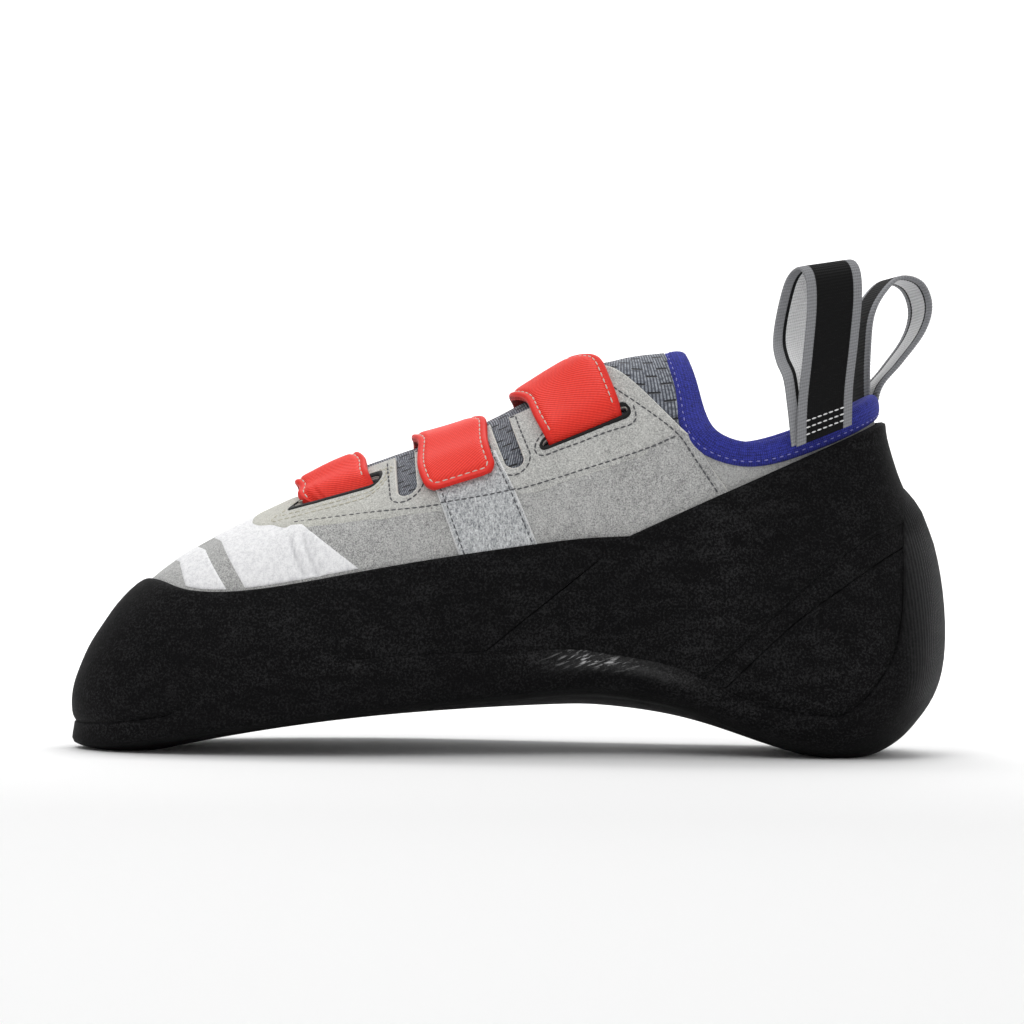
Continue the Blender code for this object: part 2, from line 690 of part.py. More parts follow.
def station_at(x, share, side):
    """Station on one side where the skin lies at a length along the shoe."""
    lengths = skin(side * STATION_SCAN, np.full(len(STATION_SCAN), share))[:, 0]
    return np.interp(x, lengths, STATION_SCAN)


def strap_stations(strap, side, shares, lengths):
    """Stations of points down one side of a strap, which sweeps back on its way to its end."""
    end = strap.end_m if side < 0 else strap.end_l
    columns = []
    for j, share in enumerate(shares):
        swept = lengths[:, j] + strap.sweep * (1 - share) / (1 - end)
        columns.append(station_at(swept, share, side))
    return np.stack(columns, 1)


def make_strap(strap):
    lengths = np.linspace(strap.front, strap.rear, 5)
    middle = (strap.front + strap.rear) / 2
    edge = station_at(lengths, 1.0, -1)
    peak = np.linspace(strap.peak_front, strap.peak_rear, 5)
    faces = []
    for depth in (0, STRAP):
        sides = {}
        for side, end in ((-1, strap.end_m), (1, strap.end_l)):
            if side == strap.slot_side:
                shares = np.array([end, end + SLOT_DEPTH, (end + SLOT_DEPTH + 1) / 2])
                rest = np.array([-SLOT_SINK, STRAP_REST, STRAP_REST])
                narrow = np.array([1, 1, 1])
            else:
                shares = end + (1 - end) * FREE_END[:, 0]
                rest = np.array([PATCH_REST] * 4 + [STRAP_REST])
                narrow = FREE_END[:, 1]
            wide = middle + (lengths[:, None] - middle) * narrow
            q = strap_stations(strap, side, shares, wide)
            v = np.broadcast_to(shares, q.shape)
            sides[side] = layer(side * q, v, np.broadcast_to(rest + depth, q.shape))
        over = over_throat(edge, np.full(len(edge), STRAP_REST + depth), peak[:, None] + depth, 4)
        faces.append(np.concatenate([sides[-1], over, sides[1][:, ::-1]], 1))
    return shell(strap.name, faces[1], faces[0], "coated")


def cutter(name, outline):
    """Prism through the wall over an outline of stations and shares, used to cut and not shown."""
    q, v = np.array(outline).T
    builder = bmesh.new()
    rings = []
    for distance in (-3 * WALL, 3 * WALL):
        points = layer(q, v, np.full(len(q), distance))
        ring = [builder.verts.new(p) for p in points]
        hub = builder.verts.new(points.mean(0))
        for j in range(len(ring)):
            builder.faces.new((ring[j], ring[(j + 1) % len(ring)], hub))
        rings.append(ring)
    for j in range(len(q)):
        k = (j + 1) % len(q)
        builder.faces.new((rings[0][j], rings[0][k], rings[1][k], rings[1][j]))
    made = new_object(name, builder, "suede")
    made.hide_render = True
    made.display_type = "WIRE"
    return made


def slot_outline(strap):
    """Slot with round ends, a little longer than the strap is wide."""
    end = strap.end_m if strap.slot_side < 0 else strap.end_l
    low, high = end - SLOT_EASE[0], end + SLOT_DEPTH + SLOT_EASE[1]
    middle, half = (low + high) / 2, (high - low) / 2
    outline = []
    for way, length in ((-1, strap.front), (1, strap.rear)):
        for turn in np.linspace(-80, 80, 5):
            angle = math.radians(turn)
            share = middle + way * half * math.sin(angle)
            reach = np.array([[length + way * SLOT_ROOM * math.cos(angle)]])
            station = strap_stations(strap, strap.slot_side, [share], reach)[0, 0]
            outline.append((strap.slot_side * station, share))
    return outline


def notch_outline(notch, side):
    """Notch with a round foot, open past the throat's edge."""
    places = [(-1, NOTCH_OPEN)]
    for turn in np.linspace(0, math.pi, 7):
        share = notch.foot + NOTCH_ROUND * (1 - math.sin(turn))
        places.append((-math.cos(turn), share))
    places.append((1, NOTCH_OPEN))
    outline = []
    for way, share in places:
        x = notch.middle + way * notch.half_width + notch.slant * (1 - share) / (1 - notch.foot)
        outline.append((side * station_at(x, min(share, 1), side), share))
    return outline


def make_upper():
    q = np.concatenate([-STATIONS[:0:-1], STATIONS[:-1]])
    q, v = grid(q, HEIGHTS)
    upper = shell("upper", skin(q, v), layer(q, v, np.full(q.shape, -WALL)), "suede", ring=True)
    cutters = [cutter("slot_" + strap.name, slot_outline(strap)) for strap in STRAPS]
    for notch in NOTCHES:
        cutters += [cutter(f"{notch.name}_{side}", notch_outline(notch, side)) for side in (-1, 1)]
    for tool in cutters:
        cut = upper.modifiers.new(tool.name, "BOOLEAN")
        cut.operation = "DIFFERENCE"
        cut.object = tool
    return upper


def make_loop(loop):
    """Webbing loop: a ribbon along a smooth path, its ends sewn flat on the collar."""
    face = math.radians(loop.facing)
    out = np.array([math.sin(face), loop.side * math.cos(face), 0])
    along = np.array([math.cos(face), -loop.side * math.sin(face), 0])
    up = np.array([0, 0, 1.0])
    base = np.array([loop.x, loop.y, loop.z])
    steps = np.array(loop.path, float)
    place = np.linspace(0, len(steps) - 1, 2 * len(steps) - 1)
    path = smooth_row(steps, place)
    centre = base + path[:, :1] * out + path[:, 1:2] * along + path[:, 2:] * up
    ahead = np.gradient(centre, axis=0)
    normal = np.cross(along, ahead)
    normal /= np.linalg.norm(normal, axis=-1, keepdims=True)
    tall = path[:, 2].max()
    builder_faces = []
    for half in (-LOOP_THICK / 2, LOOP_THICK / 2):
        rows = []
        for i in range(len(centre)):
            lean = up * loop.slope * (1 - path[i, 2] / tall)
            way = along + lean
            middle = centre[i] + normal[i] * half
            rows.append([middle + way * LOOP_WIDTH * share for share in (-0.5, 0.5)])
        builder_faces.append(np.array(rows))
    return shell(loop.name, builder_faces[0], builder_faces[1], "webbing")


make_outsole()
make_rands()
make_insole()
make_upper()
make_tongue()
make_binding()
for each_strap in STRAPS:
    make_strap(each_strap)
for each_loop in LOOPS:
    make_loop(each_loop)
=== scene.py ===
import math
from collections import namedtuple

import bmesh
import bpy
import numpy as np
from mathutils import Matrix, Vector
from mathutils.geometry import delaunay_2d_cdt
from mathutils.kdtree import KDTree


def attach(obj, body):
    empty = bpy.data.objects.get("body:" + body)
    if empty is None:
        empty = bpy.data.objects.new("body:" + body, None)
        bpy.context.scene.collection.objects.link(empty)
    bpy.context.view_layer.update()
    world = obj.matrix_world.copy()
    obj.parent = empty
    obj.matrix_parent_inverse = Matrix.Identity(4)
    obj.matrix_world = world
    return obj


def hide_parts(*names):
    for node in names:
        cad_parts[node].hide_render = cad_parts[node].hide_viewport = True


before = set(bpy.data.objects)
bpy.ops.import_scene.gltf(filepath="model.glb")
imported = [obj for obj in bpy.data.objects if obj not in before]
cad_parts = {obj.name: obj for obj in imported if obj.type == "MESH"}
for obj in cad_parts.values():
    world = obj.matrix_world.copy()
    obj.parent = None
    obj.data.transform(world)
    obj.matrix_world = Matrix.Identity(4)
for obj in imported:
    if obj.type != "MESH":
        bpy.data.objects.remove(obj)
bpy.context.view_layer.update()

# Upper: the lasted body of a right climbing shoe, a grey woven lining on a thin foam. It is pulled
# over the last and glued under the foot, and is open at the collar and the throat.
MM = 0.001
# Sizes are in millimetres from here on
LENGTH = 265.0
BALL_WIDTH = 92.0
INSTEP_HEIGHT = 116.5
WALL = 1.8
MARGIN = 11.0
BELLY = 0.24
LINING_DEPTH = 0.8
UPPER_STEP = 2.4
UPPER_ROWS = 40

# The toe points to -X and the inner side to -Y. The skin is a function of a station round the shoe (minus
# on the inner side, 0 at the toe, 11 at the heel) and a share of the way up the wall. A section has lengths
# in percent of LENGTH, widths in percent of BALL_WIDTH and heights in percent of INSTEP_HEIGHT: feather
# edge, softness and swell of the wall, shoulder, crown, and top edge
Section = namedtuple(
    "Section",
    "along medial lateral lift_m lift_l round flare lean full rise_m rise_l crown"
    " top_along top_m top_l top",
)
SECTIONS = [
    Section(1.0, -14, -14, 3.6, 3.6, 0.16, 1.8, 0.27, 0, 0.66, 0.66, 3, 25.0, -5.0, -5.0, 65.2),
    Section(4.2, -32, 4.5, 3.8, 3.8, 0.18, 2.2, 0.25, 0, 0.65, 0.60, 3, 25.6, -9.0, -0.5, 65.7),
    Section(10.8, -42, 22.5, 6.2, 5.7, 0.15, 2.6, 0.22, 0, 0.65, 0.54, 3, 27.3, -11, 2, 67.2),
    Section(19.8, -46, 37.0, 9.8, 9.0, 0.15, 3.0, 0.22, 0, 0.68, 0.56, 3, 30.6, -12, 3.5, 70.8),
    Section(30.4, -45.5, 45.6, 13.4, 11.6, 0.15, 3.8, 0.22, 0, 0.70, 0.62, 2, 36.4, -12.5, 5, 76.0),
    Section(41.7, -40, 46.7, 16.2, 13.5, 0.20, 4.5, 0.20, 0, 0.76, 0.66, 2, 45.5, -13, 7, 83.4),
    Section(55.3, -32, 41.5, 19.0, 15.0, 0.30, 4.9, 0.15, 0, 0.77, 0.70, 2, 55.3, -14.5, 10, 94.0),
    Section(62.0, -30.5, 38.5, 19.0, 15.0, 0.30, 5.0, 0.15, 0, 0.78, 0.72, 1, 61.7, -17, 13, 99.8),
    Section(71.0, -31, 35.0, 15.0, 12.5, 0.35, 4.9, 0.35, 0, 0.78, 0.76, 0, 71.6, -27, 27, 80.0),
    Section(81.0, -33, 33.0, 6.8, 6.8, 0.40, 4.0, 0.50, 2, 0.77, 0.77, -1, 80.2, -28, 28, 77.2),
    Section(90.5, -27, 27.0, 3.8, 3.8, 0.45, 8.0, 0.40, 4, 0.75, 0.75, -3, 89.2, -19, 19, 85.5),
    Section(94.2, 0, 0, 3.8, 3.8, 0.45, 13.5, 0.00, 9, 0.66, 0.66, -6, 91.8, 0, 0, 88.8),
]
LAST = len(SECTIONS) - 1
CONTROLS = 7
KNOTS = np.array([0, 0, 0, 0, 0.25, 0.5, 0.75, 1, 1, 1, 1])


def along_to_x(percent):
    return (percent / 100 - 0.5) * LENGTH


def ring_tangents(values):
    """Tangents of the smooth closed curve through values, one row for each knot."""
    count = len(values)
    system = 4 * np.eye(count) + np.eye(count, k=1) + np.eye(count, k=-1)
    system[0, -1] = system[-1, 0] = 1
    return np.linalg.solve(system, 3 * (np.roll(values, -1, 0) - np.roll(values, 1, 0)))


def hermite(start, end, leave, arrive, share):
    """Point at a share of the way on the cubic from start to end."""
    s = np.asarray(share)[..., None]
    return (
        (2 * s**3 - 3 * s**2 + 1) * start
        + (s**3 - 2 * s**2 + s) * leave
        + (3 * s**2 - 2 * s**3) * end
        + (s**3 - s**2) * arrive
    )


def on_ring(values, tangents, place):
    """Values at places on the smooth closed curve through some rows."""
    row = np.floor(place).astype(int)
    here, ahead = row % len(values), (row + 1) % len(values)
    return hermite(values[here], values[ahead], tangents[here], tangents[ahead], place - row)


class Ring:
    """Values on the sections, round the shoe: toe tip, outer side, heel, inner side."""

    def __init__(self, outer, inner):
        self.values = np.array(list(outer) + list(inner)[LAST - 1 : 0 : -1], float)
        self.tangents = ring_tangents(self.values)

    def at(self, station):
        return on_ring(self.values, self.tangents, station)


def control_points():
    """Seven control points of the wall's profile on each section, for both sides."""
    foot, lift, top = {}, {}, {}
    for side in ("medial", "lateral"):
        letter = side[0]
        x = np.array([along_to_x(row.along) for row in SECTIONS])
        y = np.array([getattr(row, side) for row in SECTIONS]) * BALL_WIDTH / 100
        foot[side] = np.stack([x, y], 1)
        lift[side] = np.array([getattr(row, "lift_" + letter) for row in SECTIONS]) * INSTEP_HEIGHT / 100
        top_x = np.array([along_to_x(row.top_along) for row in SECTIONS])
        top_y = np.array([getattr(row, "top_" + letter) for row in SECTIONS]) * BALL_WIDTH / 100
        top_z = np.array([row.top for row in SECTIONS]) * INSTEP_HEIGHT / 100
        top[side] = np.stack([top_x, top_y, top_z], 1)
    plan = Ring(foot["lateral"], foot["medial"])
    up = np.array([0, 0, 1.0])
    profiles = {}
    for side, sign in (("lateral", 1), ("medial", -1)):
        rows = []
        for index, row in enumerate(SECTIONS):
            tangent = plan.tangents[(sign * index) % len(plan.values)]
            out = np.array([-tangent[1], tangent[0], 0]) / np.linalg.norm(tangent)
            rise = getattr(row, "rise_" + side[0])
            edge = np.append(foot[side][index], lift[side][index])
            end = top[side][index]
            climb = end[2] - edge[2]
            inside = edge - out * MARGIN
            belly = edge + out * row.flare * BALL_WIDTH / 100 + up * BELLY * climb
            shoulder = edge + row.lean * (end - edge) * (1, 1, 0) + up * rise * climb
            shoulder += out * row.full * BALL_WIDTH / 100
            crown = (shoulder + end) / 2 + out * row.crown * BALL_WIDTH / 100
            low_bend = edge + row.round * (inside - edge)
            high_bend = edge + row.round * (belly - edge)
            rows.append([inside, low_bend, high_bend, belly, shoulder, crown, end])
        profiles[side] = np.array(rows).reshape(len(SECTIONS), -1)
    return Ring(profiles["lateral"], profiles["medial"])


PROFILES = control_points()


def blend_weights(share):
    """Weights of the seven control points at shares of the wall (cubic B-spline)."""
    t = np.clip(np.atleast_1d(np.asarray(share, float)), 0, 1 - 1e-9)
    weights = [((KNOTS[i] <= t) & (t < KNOTS[i + 1])).astype(float) for i in range(len(KNOTS) - 1)]
    for degree in (1, 2, 3):
        raised = []
        for i in range(len(weights) - 1):
            total = np.zeros_like(t)
            if KNOTS[i + degree] > KNOTS[i]:
                total += (t - KNOTS[i]) / (KNOTS[i + degree] - KNOTS[i]) * weights[i]
            if KNOTS[i + degree + 1] > KNOTS[i + 1]:
                reach = KNOTS[i + degree + 1] - KNOTS[i + 1]
                total += (KNOTS[i + degree + 1] - t) / reach * weights[i + 1]
            raised.append(total)
        weights = raised
    return np.stack(weights, -1)


def skin(station, share):
    """Point on the upper's outer skin. Past the top edge the wall runs straight on."""
    station, share = np.broadcast_arrays(np.asarray(station, float), np.asarray(share, float))
    controls = PROFILES.at(station).reshape(station.shape + (CONTROLS, 3))
    weights = blend_weights(share.ravel()).reshape(share.shape + (CONTROLS,))
    point = (weights[..., None] * controls).sum(-2)
    beyond = np.maximum(share - 1, 0)[..., None]
    slope = 3 / (1 - KNOTS[-5]) * (controls[..., -1, :] - controls[..., -2, :])
    return point + beyond * slope


def unit(vectors):
    """Directions of some vectors."""
    return vectors / np.linalg.norm(vectors, axis=-1, keepdims=True)


def skin_frame(station, share):
    """Outward normal of the skin and its direction up the wall."""
    step = 1e-3
    low, high = np.maximum(np.asarray(share, float) - step, 0), np.asarray(share, float) + step
    up = skin(station, high) - skin(station, low)
    round_way = skin(np.asarray(station) + step, share) - skin(np.asarray(station) - step, share)
    return unit(np.cross(up, round_way)), unit(up)


def layer(station, share, distance):
    """Point at a distance outside the skin."""
    normal = skin_frame(station, share)[0]
    return skin(station, share) + normal * np.asarray(distance, float)[..., None]


def run_along(lines):
    """Length run from the start of a line of points to each of them, for one line or rows of lines."""
    steps = np.linalg.norm(np.diff(lines, axis=-2), axis=-1)
    return np.concatenate([np.zeros(steps.shape[:-1] + (1,)), np.cumsum(steps, -1)], -1)


def at_run(places, run, points):
    """Points at places along a line whose points have gone a run."""
    return np.stack([np.interp(places, run, column) for column in np.transpose(points)], -1)


# Lengths round the shoe are measured at this share of the wall
WAIST = 0.6
RING_SCAN = np.linspace(-LAST, 2 * LAST, 6601)
RING_LENGTH = run_along(skin(RING_SCAN, WAIST))
RING_LENGTH -= np.interp(0, RING_SCAN, RING_LENGTH)


def even_stations(start, end, step):
    """Stations about a step apart round the shoe."""
    first, last = np.interp([start, end], RING_SCAN, RING_LENGTH)
    count = int(round((last - first) / step)) + 1
    return np.interp(np.linspace(first, last, count), RING_LENGTH, RING_SCAN)


def smooth_step(value, low, high):
    share = np.clip((value - low) / (high - low), 0, 1)
    return share * share * (3 - 2 * share)


def part_way(start, end, share):
    return start + (end - start) * share


def bell(distance, width):
    """Falls softly from one to nought over about twice a width."""
    return np.exp(-((distance / width) ** 2))


def rounded(distance, radius):
    """Rises from nought to one as a quarter circle does, over a radius in from an edge."""
    return np.sqrt(1 - (1 - np.clip(distance / radius, 0, 1)) ** 2)


def grid_faces(rows, columns, ring, tube=False):
    """Quads over a grid of points, numbered row by row: a ring closes its rows, a tube its columns."""
    i = np.arange(rows if ring else rows - 1)[:, None]
    j = np.arange(columns if tube else columns - 1)[None]
    k, m = (i + 1) % rows, (j + 1) % columns
    corners = [i * columns + j, k * columns + j, k * columns + m, i * columns + m]
    return np.stack(np.broadcast_arrays(*corners), -1).reshape(-1, 4)


def wall(outside, inside, ring=False, ends=(True, True)):
    """Points and quads of a closed wall between two grids. Its long edges are joined, and its ends."""
    rows, columns = outside.shape[:2]
    half = rows * columns
    face = grid_faces(rows, columns, ring)
    faces = [face, face[:, ::-1] + half]
    i = np.arange(rows if ring else rows - 1)
    strips = []
    for j, way in ((0, 1), (columns - 1, -1)):
        strips.append((i * columns + j, (i + 1) % rows * columns + j, way))
    j = np.arange(columns - 1)
    for i, wanted, way in ((0, ends[0], -1), (rows - 1, ends[1], 1)):
        if wanted and not ring:
            strips.append((i * columns + j, i * columns + j + 1, way))
    for here, ahead, way in strips:
        faces.append(np.stack([here, half + here, half + ahead, ahead], 1)[:, ::way])
    points = np.concatenate([outside.reshape(-1, 3), inside.reshape(-1, 3)])
    return points, np.concatenate(faces)


def add_object(name, data):
    """New object in the scene."""
    made = bpy.data.objects.new(name, data)
    bpy.context.scene.collection.objects.link(made)
    return made


def mark_points(mesh, name, values):
    """Number on each point of a mesh, for its material."""
    mesh.attributes.new(name, "FLOAT", "POINT").data.foreach_set("value", np.asarray(values, np.float32))


def new_piece(name, points, faces, finishes, sharp=40, spread=None, marks=None, wears=None):
    """Closed mesh from points in millimetres, smooth but for edges sharper than an angle in degrees.

    spread is a place in millimetres on the flat cloth for each point, marks are named values for
    each point, and wears is the number of the finish for each face.
    """
    mesh = bpy.data.meshes.new(name)
    mesh.from_pydata((np.asarray(points) * MM).tolist(), [], [list(map(int, face)) for face in faces])
    builder = bmesh.new()
    builder.from_mesh(mesh)
    bmesh.ops.recalc_face_normals(builder, faces=builder.faces)
    builder.to_mesh(mesh)
    builder.free()
    mesh.shade_smooth()
    mesh.set_sharp_from_angle(angle=math.radians(sharp))
    for finish in finishes:
        mesh.materials.append(finish.material)
    if wears is not None:
        mesh.polygons.foreach_set("material_index", np.asarray(wears, np.int32))
    if spread is not None:
        corner = np.empty(len(mesh.loops), np.int32)
        mesh.loops.foreach_get("vertex_index", corner)
        mesh.uv_layers.new(name="cloth").data.foreach_set("uv", (np.asarray(spread) * MM)[corner].ravel())
    for mark, values in (marks or {}).items():
        mark_points(mesh, mark, values)
    return add_object(name, mesh)


def bake(piece):
    """Keeps what a piece's modifiers make as its plain mesh."""
    made = bpy.data.meshes.new_from_object(piece.evaluated_get(bpy.context.evaluated_depsgraph_get()))
    piece.modifiers.clear()
    old = piece.data
    piece.data = made
    bpy.data.meshes.remove(old)


def settle(piece, slot, *nodes):
    """The piece rides on the shoe and stands for the nodes given, which are hidden; slot is not used."""
    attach(piece, "root")
    if nodes:
        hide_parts(*nodes)


class Finish:
    """Principled material, with short ways to add nodes and join them."""

    def __init__(self, name, **values):
        self.material = bpy.data.materials.new(name)
        self.material.use_nodes = True
        self.tree = self.material.node_tree
        self.shader = self.tree.nodes["Principled BSDF"]
        for socket, value in values.items():
            self.shader.inputs[socket.replace("_", " ")].default_value = value

    def node(self, kind, inputs, **settings):
        made = self.tree.nodes.new(kind)
        for key, value in settings.items():
            setattr(made, key, value)
        for key, value in inputs.items():
            self.set(made.inputs[key], value)
        return made

    def set(self, socket, value):
        if isinstance(value, bpy.types.NodeSocket):
            self.tree.links.new(value, socket)
        else:
            socket.default_value = value

    def give(self, socket, value):
        self.set(self.shader.inputs[socket], value)

    def place(self, stretch=(1, 1, 1), turn=(0, 0, 0), cloth=False):
        """Coordinates in metres on the object, or on the flat cloth, stretched and turned."""
        if cloth:
            source = self.node("ShaderNodeUVMap", {}, uv_map="cloth").outputs["UV"]
        else:
            source = self.node("ShaderNodeTexCoord", {}).outputs["Object"]
        mapping = {"Vector": source, "Scale": stretch, "Rotation": turn}
        return self.node("ShaderNodeMapping", mapping).outputs["Vector"]

    def noise(self, place, scale, detail=3.0, rough=0.5):
        inputs = {"Vector": place, "Scale": scale, "Detail": detail, "Roughness": rough}
        return self.node("ShaderNodeTexNoise", inputs).outputs["Fac"]

    def wave(self, place, period, distortion=0.0, direction="X"):
        """Bands at a period in millimetres. The texture makes 20 radians of a wave in each unit."""
        scale = math.pi / (10 * period * MM)
        inputs = {"Vector": place, "Scale": scale, "Distortion": distortion, "Detail": 1.0}
        return self.node("ShaderNodeTexWave", inputs, bands_direction=direction).outputs["Fac"]

    def mark(self, name):
        return self.node("ShaderNodeAttribute", {}, attribute_name=name).outputs["Fac"]

    def maths(self, operation, first, second=0.0, third=0.0):
        return self.node("ShaderNodeMath", {0: first, 1: second, 2: third}, operation=operation).outputs[0]

    def span(self, value, low, high, to_low=0.0, to_high=1.0):
        """The value's stretch from low to high, moved to another stretch and kept inside it."""
        inputs = {"Value": value, "From Min": low, "From Max": high, "To Min": to_low, "To Max": to_high}
        return self.node("ShaderNodeMapRange", inputs, clamp=True).outputs["Result"]

    def mix(self, share, first, second):
        made = self.tree.nodes.new("ShaderNodeMix")
        made.data_type = "RGBA"
        self.set(made.inputs["Factor"], share)
        colours = [socket for socket in made.inputs if socket.type == "RGBA"]
        for socket, colour in zip(colours, (first, second)):
            self.set(socket, colour)
        return [socket for socket in made.outputs if socket.type == "RGBA"][0]

    def bump(self, height, depth, strength=1.0, over=None):
        """Normal with bumps of a height share times a depth in millimetres."""
        inputs = {"Height": height, "Distance": depth * MM, "Strength": strength}
        if over is not None:
            inputs["Normal"] = over
        return self.node("ShaderNodeBump", inputs).outputs["Normal"]

    def surface(self, colour, height, depth, strength):
        """Gives the finish its colour and its bumps, and returns it."""
        self.give("Base Color", colour)
        self.give("Normal", self.bump(height, depth, strength))
        return self


def tint(red, green, blue):
    """Colour for a shader from one read as 0 to 255 on a screen."""
    values = np.array([red, green, blue]) / 255
    linear = np.where(values <= 0.04045, values / 12.92, ((values + 0.055) / 1.055) ** 2.4)
    return (*linear, 1.0)


def woven(name, colour, dark, pitch):
    """Plain woven cloth: warp and weft as two crossed waves on the object."""
    made = Finish(name, Roughness=0.92, Sheen_Weight=0.15)
    place = made.place()
    warp = made.wave(place, pitch, 0.6)
    weft = made.wave(place, pitch, 0.6, direction="Z")
    weave = made.maths("MULTIPLY", warp, weft)
    patches = made.noise(place, 90, 2)
    shade = made.maths("MULTIPLY_ADD", patches, 0.5, made.maths("MULTIPLY", weave, 0.6))
    return made.surface(made.mix(shade, dark, colour), weave, 0.15, 0.7)


def suede(name, colour, dark, pale):
    """Napped synthetic: mottled in soft patches, with a short fine nap that catches the light."""
    made = Finish(name, Roughness=0.95, Sheen_Weight=0.25, Sheen_Roughness=0.5)
    place = made.place()
    nap = made.noise(place, 2300, 3, 0.7)
    brushed = made.noise(made.place(stretch=(1, 1, 0.45)), 700, 3, 0.6)
    patches = made.noise(place, 45, 2)
    fleck = made.span(made.maths("ADD", nap, made.maths("MULTIPLY", brushed, 0.25)), 0.42, 0.82)
    ground = made.mix(made.span(patches, 0.3, 0.7), dark, colour)
    height = made.maths("MULTIPLY_ADD", brushed, 0.6, nap)
    return made.surface(made.mix(fleck, ground, pale), height, 0.3, 0.9)


LINING = woven("grey_lining", tint(150, 151, 154), tint(105, 106, 110), 0.7)
BACKING = suede("heel_suede", tint(134, 134, 133), tint(112, 112, 112), tint(194, 194, 192))

# Straps: lengths along the shoe of both edges on the tongue's ridge, heights over it there, how they land
# on the inner and the outer side, and the side of their slot. A landing has the lengths of both edges at
# the throat, and the length and height of both corners where the strap ends, seen from that side
Strap = namedtuple("Strap", "name front rear peak_front peak_rear inner outer slot_side")
Landing = namedtuple("Landing", "front rear foot_front foot_rear")
STRAPS = [
    Strap(
        "strap_toe", -64.5, -45.5, 3.0, 3.0,
        Landing(-63.6, -43.6, (-62.8, 75.3), (-42.0, 81.6)),
        Landing(-64.5, -45.5, (-62.5, 51.5), (-43.4, 57.2)), -1,
    ),
    Strap(
        "strap_middle", -30.0, -10.0, 2.2, 1.0,
        Landing(-28.0, -7.4, (-24.7, 77.2), (-4.2, 84.1)),
        Landing(-30.0, -10.0, (-24.5, 74.4), (-4.5, 81.0)), 1,
    ),
    Strap(
        "strap_instep", 1.0, 19.6, 2.4, 4.2,
        Landing(5.2, 27.4, (10.6, 94.0), (32.6, 103.6)),
        Landing(1.0, 21.0, (10.0, 67.2), (30.0, 74.2)), -1,
    ),
]
SLOT_HALF = 0.013
SLOT_ROOM = 1.8

# Notches between the straps: length along the shoe at the edge, half width, slant back, foot's share
Notch = namedtuple("Notch", "middle half_width slant foot")
NOTCHES = [
    Notch(-32.6, 2.9, 1.5, 0.845),
    Notch(-4.1, 2.8, 5.4, 0.815),
]
NOTCH_ROUND = 0.03
NOTCH_OPEN = 1.02
STATION_SCAN = np.linspace(0.4, 8.5, 240)
SIDE_SCAN = np.meshgrid(np.linspace(0, LAST, 700), np.linspace(0.2, 1, 220), indexing="ij")
SIDE_VIEWS = {side: skin(side * SIDE_SCAN[0], SIDE_SCAN[1])[..., ::2] for side in (-1, 1)}
SIDE_CELL = (0.016, 0.004)


def station_at(x, share, side):
    """Station on one side where the skin lies at a length along the shoe, without its sign."""
    lengths = skin(side * STATION_SCAN, share)[:, 0]
    return np.interp(x, lengths, STATION_SCAN)


def landing_of(strap, side):
    return strap.inner if side < 0 else strap.outer


def on_skin(x, z, side=-1):
    """Station, without its sign, and share of the point seen from one side at a length and height."""
    miss = ((SIDE_VIEWS[side] - (x, z)) ** 2).sum(-1)
    best = np.unravel_index(miss.argmin(), miss.shape)
    place = np.array([SIDE_SCAN[0][best], SIDE_SCAN[1][best]])
    step = 1e-3
    for _ in range(3):
        q, v = (place + np.array([(0, 0), (step, 0), (0, -step)])).T
        here, ahead, under = skin(side * q, v)[:, ::2]
        slope = np.stack([ahead - here, here - under], 1) / step
        move = np.linalg.lstsq(slope, np.array([x, z]) - here, rcond=0.05)[0]
        place = np.clip(place + np.clip(move, np.negative(SIDE_CELL), SIDE_CELL), (0, 0.2), (LAST, 1))
    return place


def strap_foot(strap, side, across):
    """Stations, without sign, and shares at shares of the way along a strap's end on one side."""
    land = landing_of(strap, side)
    front, rear = np.array(land.foot_front), np.array(land.foot_rear)
    return np.array([on_skin(*part_way(front, rear, share), side) for share in across]).T


def slot_outline(strap):
    """Slot with round ends along a strap's root, a little longer than the strap is wide."""
    land = landing_of(strap, strap.slot_side)
    room = SLOT_ROOM / math.dist(land.foot_front, land.foot_rear)
    tips = np.linspace(0, math.pi / 2, 6)
    reach, rise = room * np.cos(tips), np.sin(tips)
    straight = np.linspace(0, 1, 11)[1:-1]
    across = np.concatenate([-reach, straight, 1 + reach[::-1]])
    half = SLOT_HALF * np.concatenate([rise, np.ones_like(straight), rise[::-1]])
    q, v = strap_foot(strap, strap.slot_side, across)
    low, high = (list(zip(strap.slot_side * q, v + way * half)) for way in (-1, 1))
    return low + high[-2:0:-1]


def notch_outline(notch, side, open_at=1.0):
    """Notch with a round foot, from front to back, open at the throat's edge."""
    walls = np.linspace(open_at, notch.foot + NOTCH_ROUND, 8)[:-1]
    places = [(-1, share) for share in walls]
    for turn in np.linspace(0, math.pi, 13):
        places.append((-math.cos(turn), notch.foot + NOTCH_ROUND * (1 - math.sin(turn))))
    places += [(1, share) for share in walls[::-1]]
    outline = []
    for way, share in places:
        x = notch.middle + way * notch.half_width + notch.slant * (1 - share) / (1 - notch.foot)
        outline.append((side * station_at(x, min(share, 1), side), share))
    return outline


def cutter(outline):
    """Prism through the wall over an outline of stations and shares."""
    q, v = np.array(outline).T
    count = len(q)
    rings = [layer(q, v, distance) for distance in (-3 * WALL, 3 * WALL)]
    points = np.concatenate([rings[0], rings[1], [rings[0].mean(0)], [rings[1].mean(0)]])
    faces = []
    for j in range(count):
        k = (j + 1) % count
        faces += [(j, k, 2 * count), (count + k, count + j, 2 * count + 1)]
        faces += [(k, j, count + j), (k, count + j, count + k)]
    return new_piece("cutter", points, faces, [LINING])


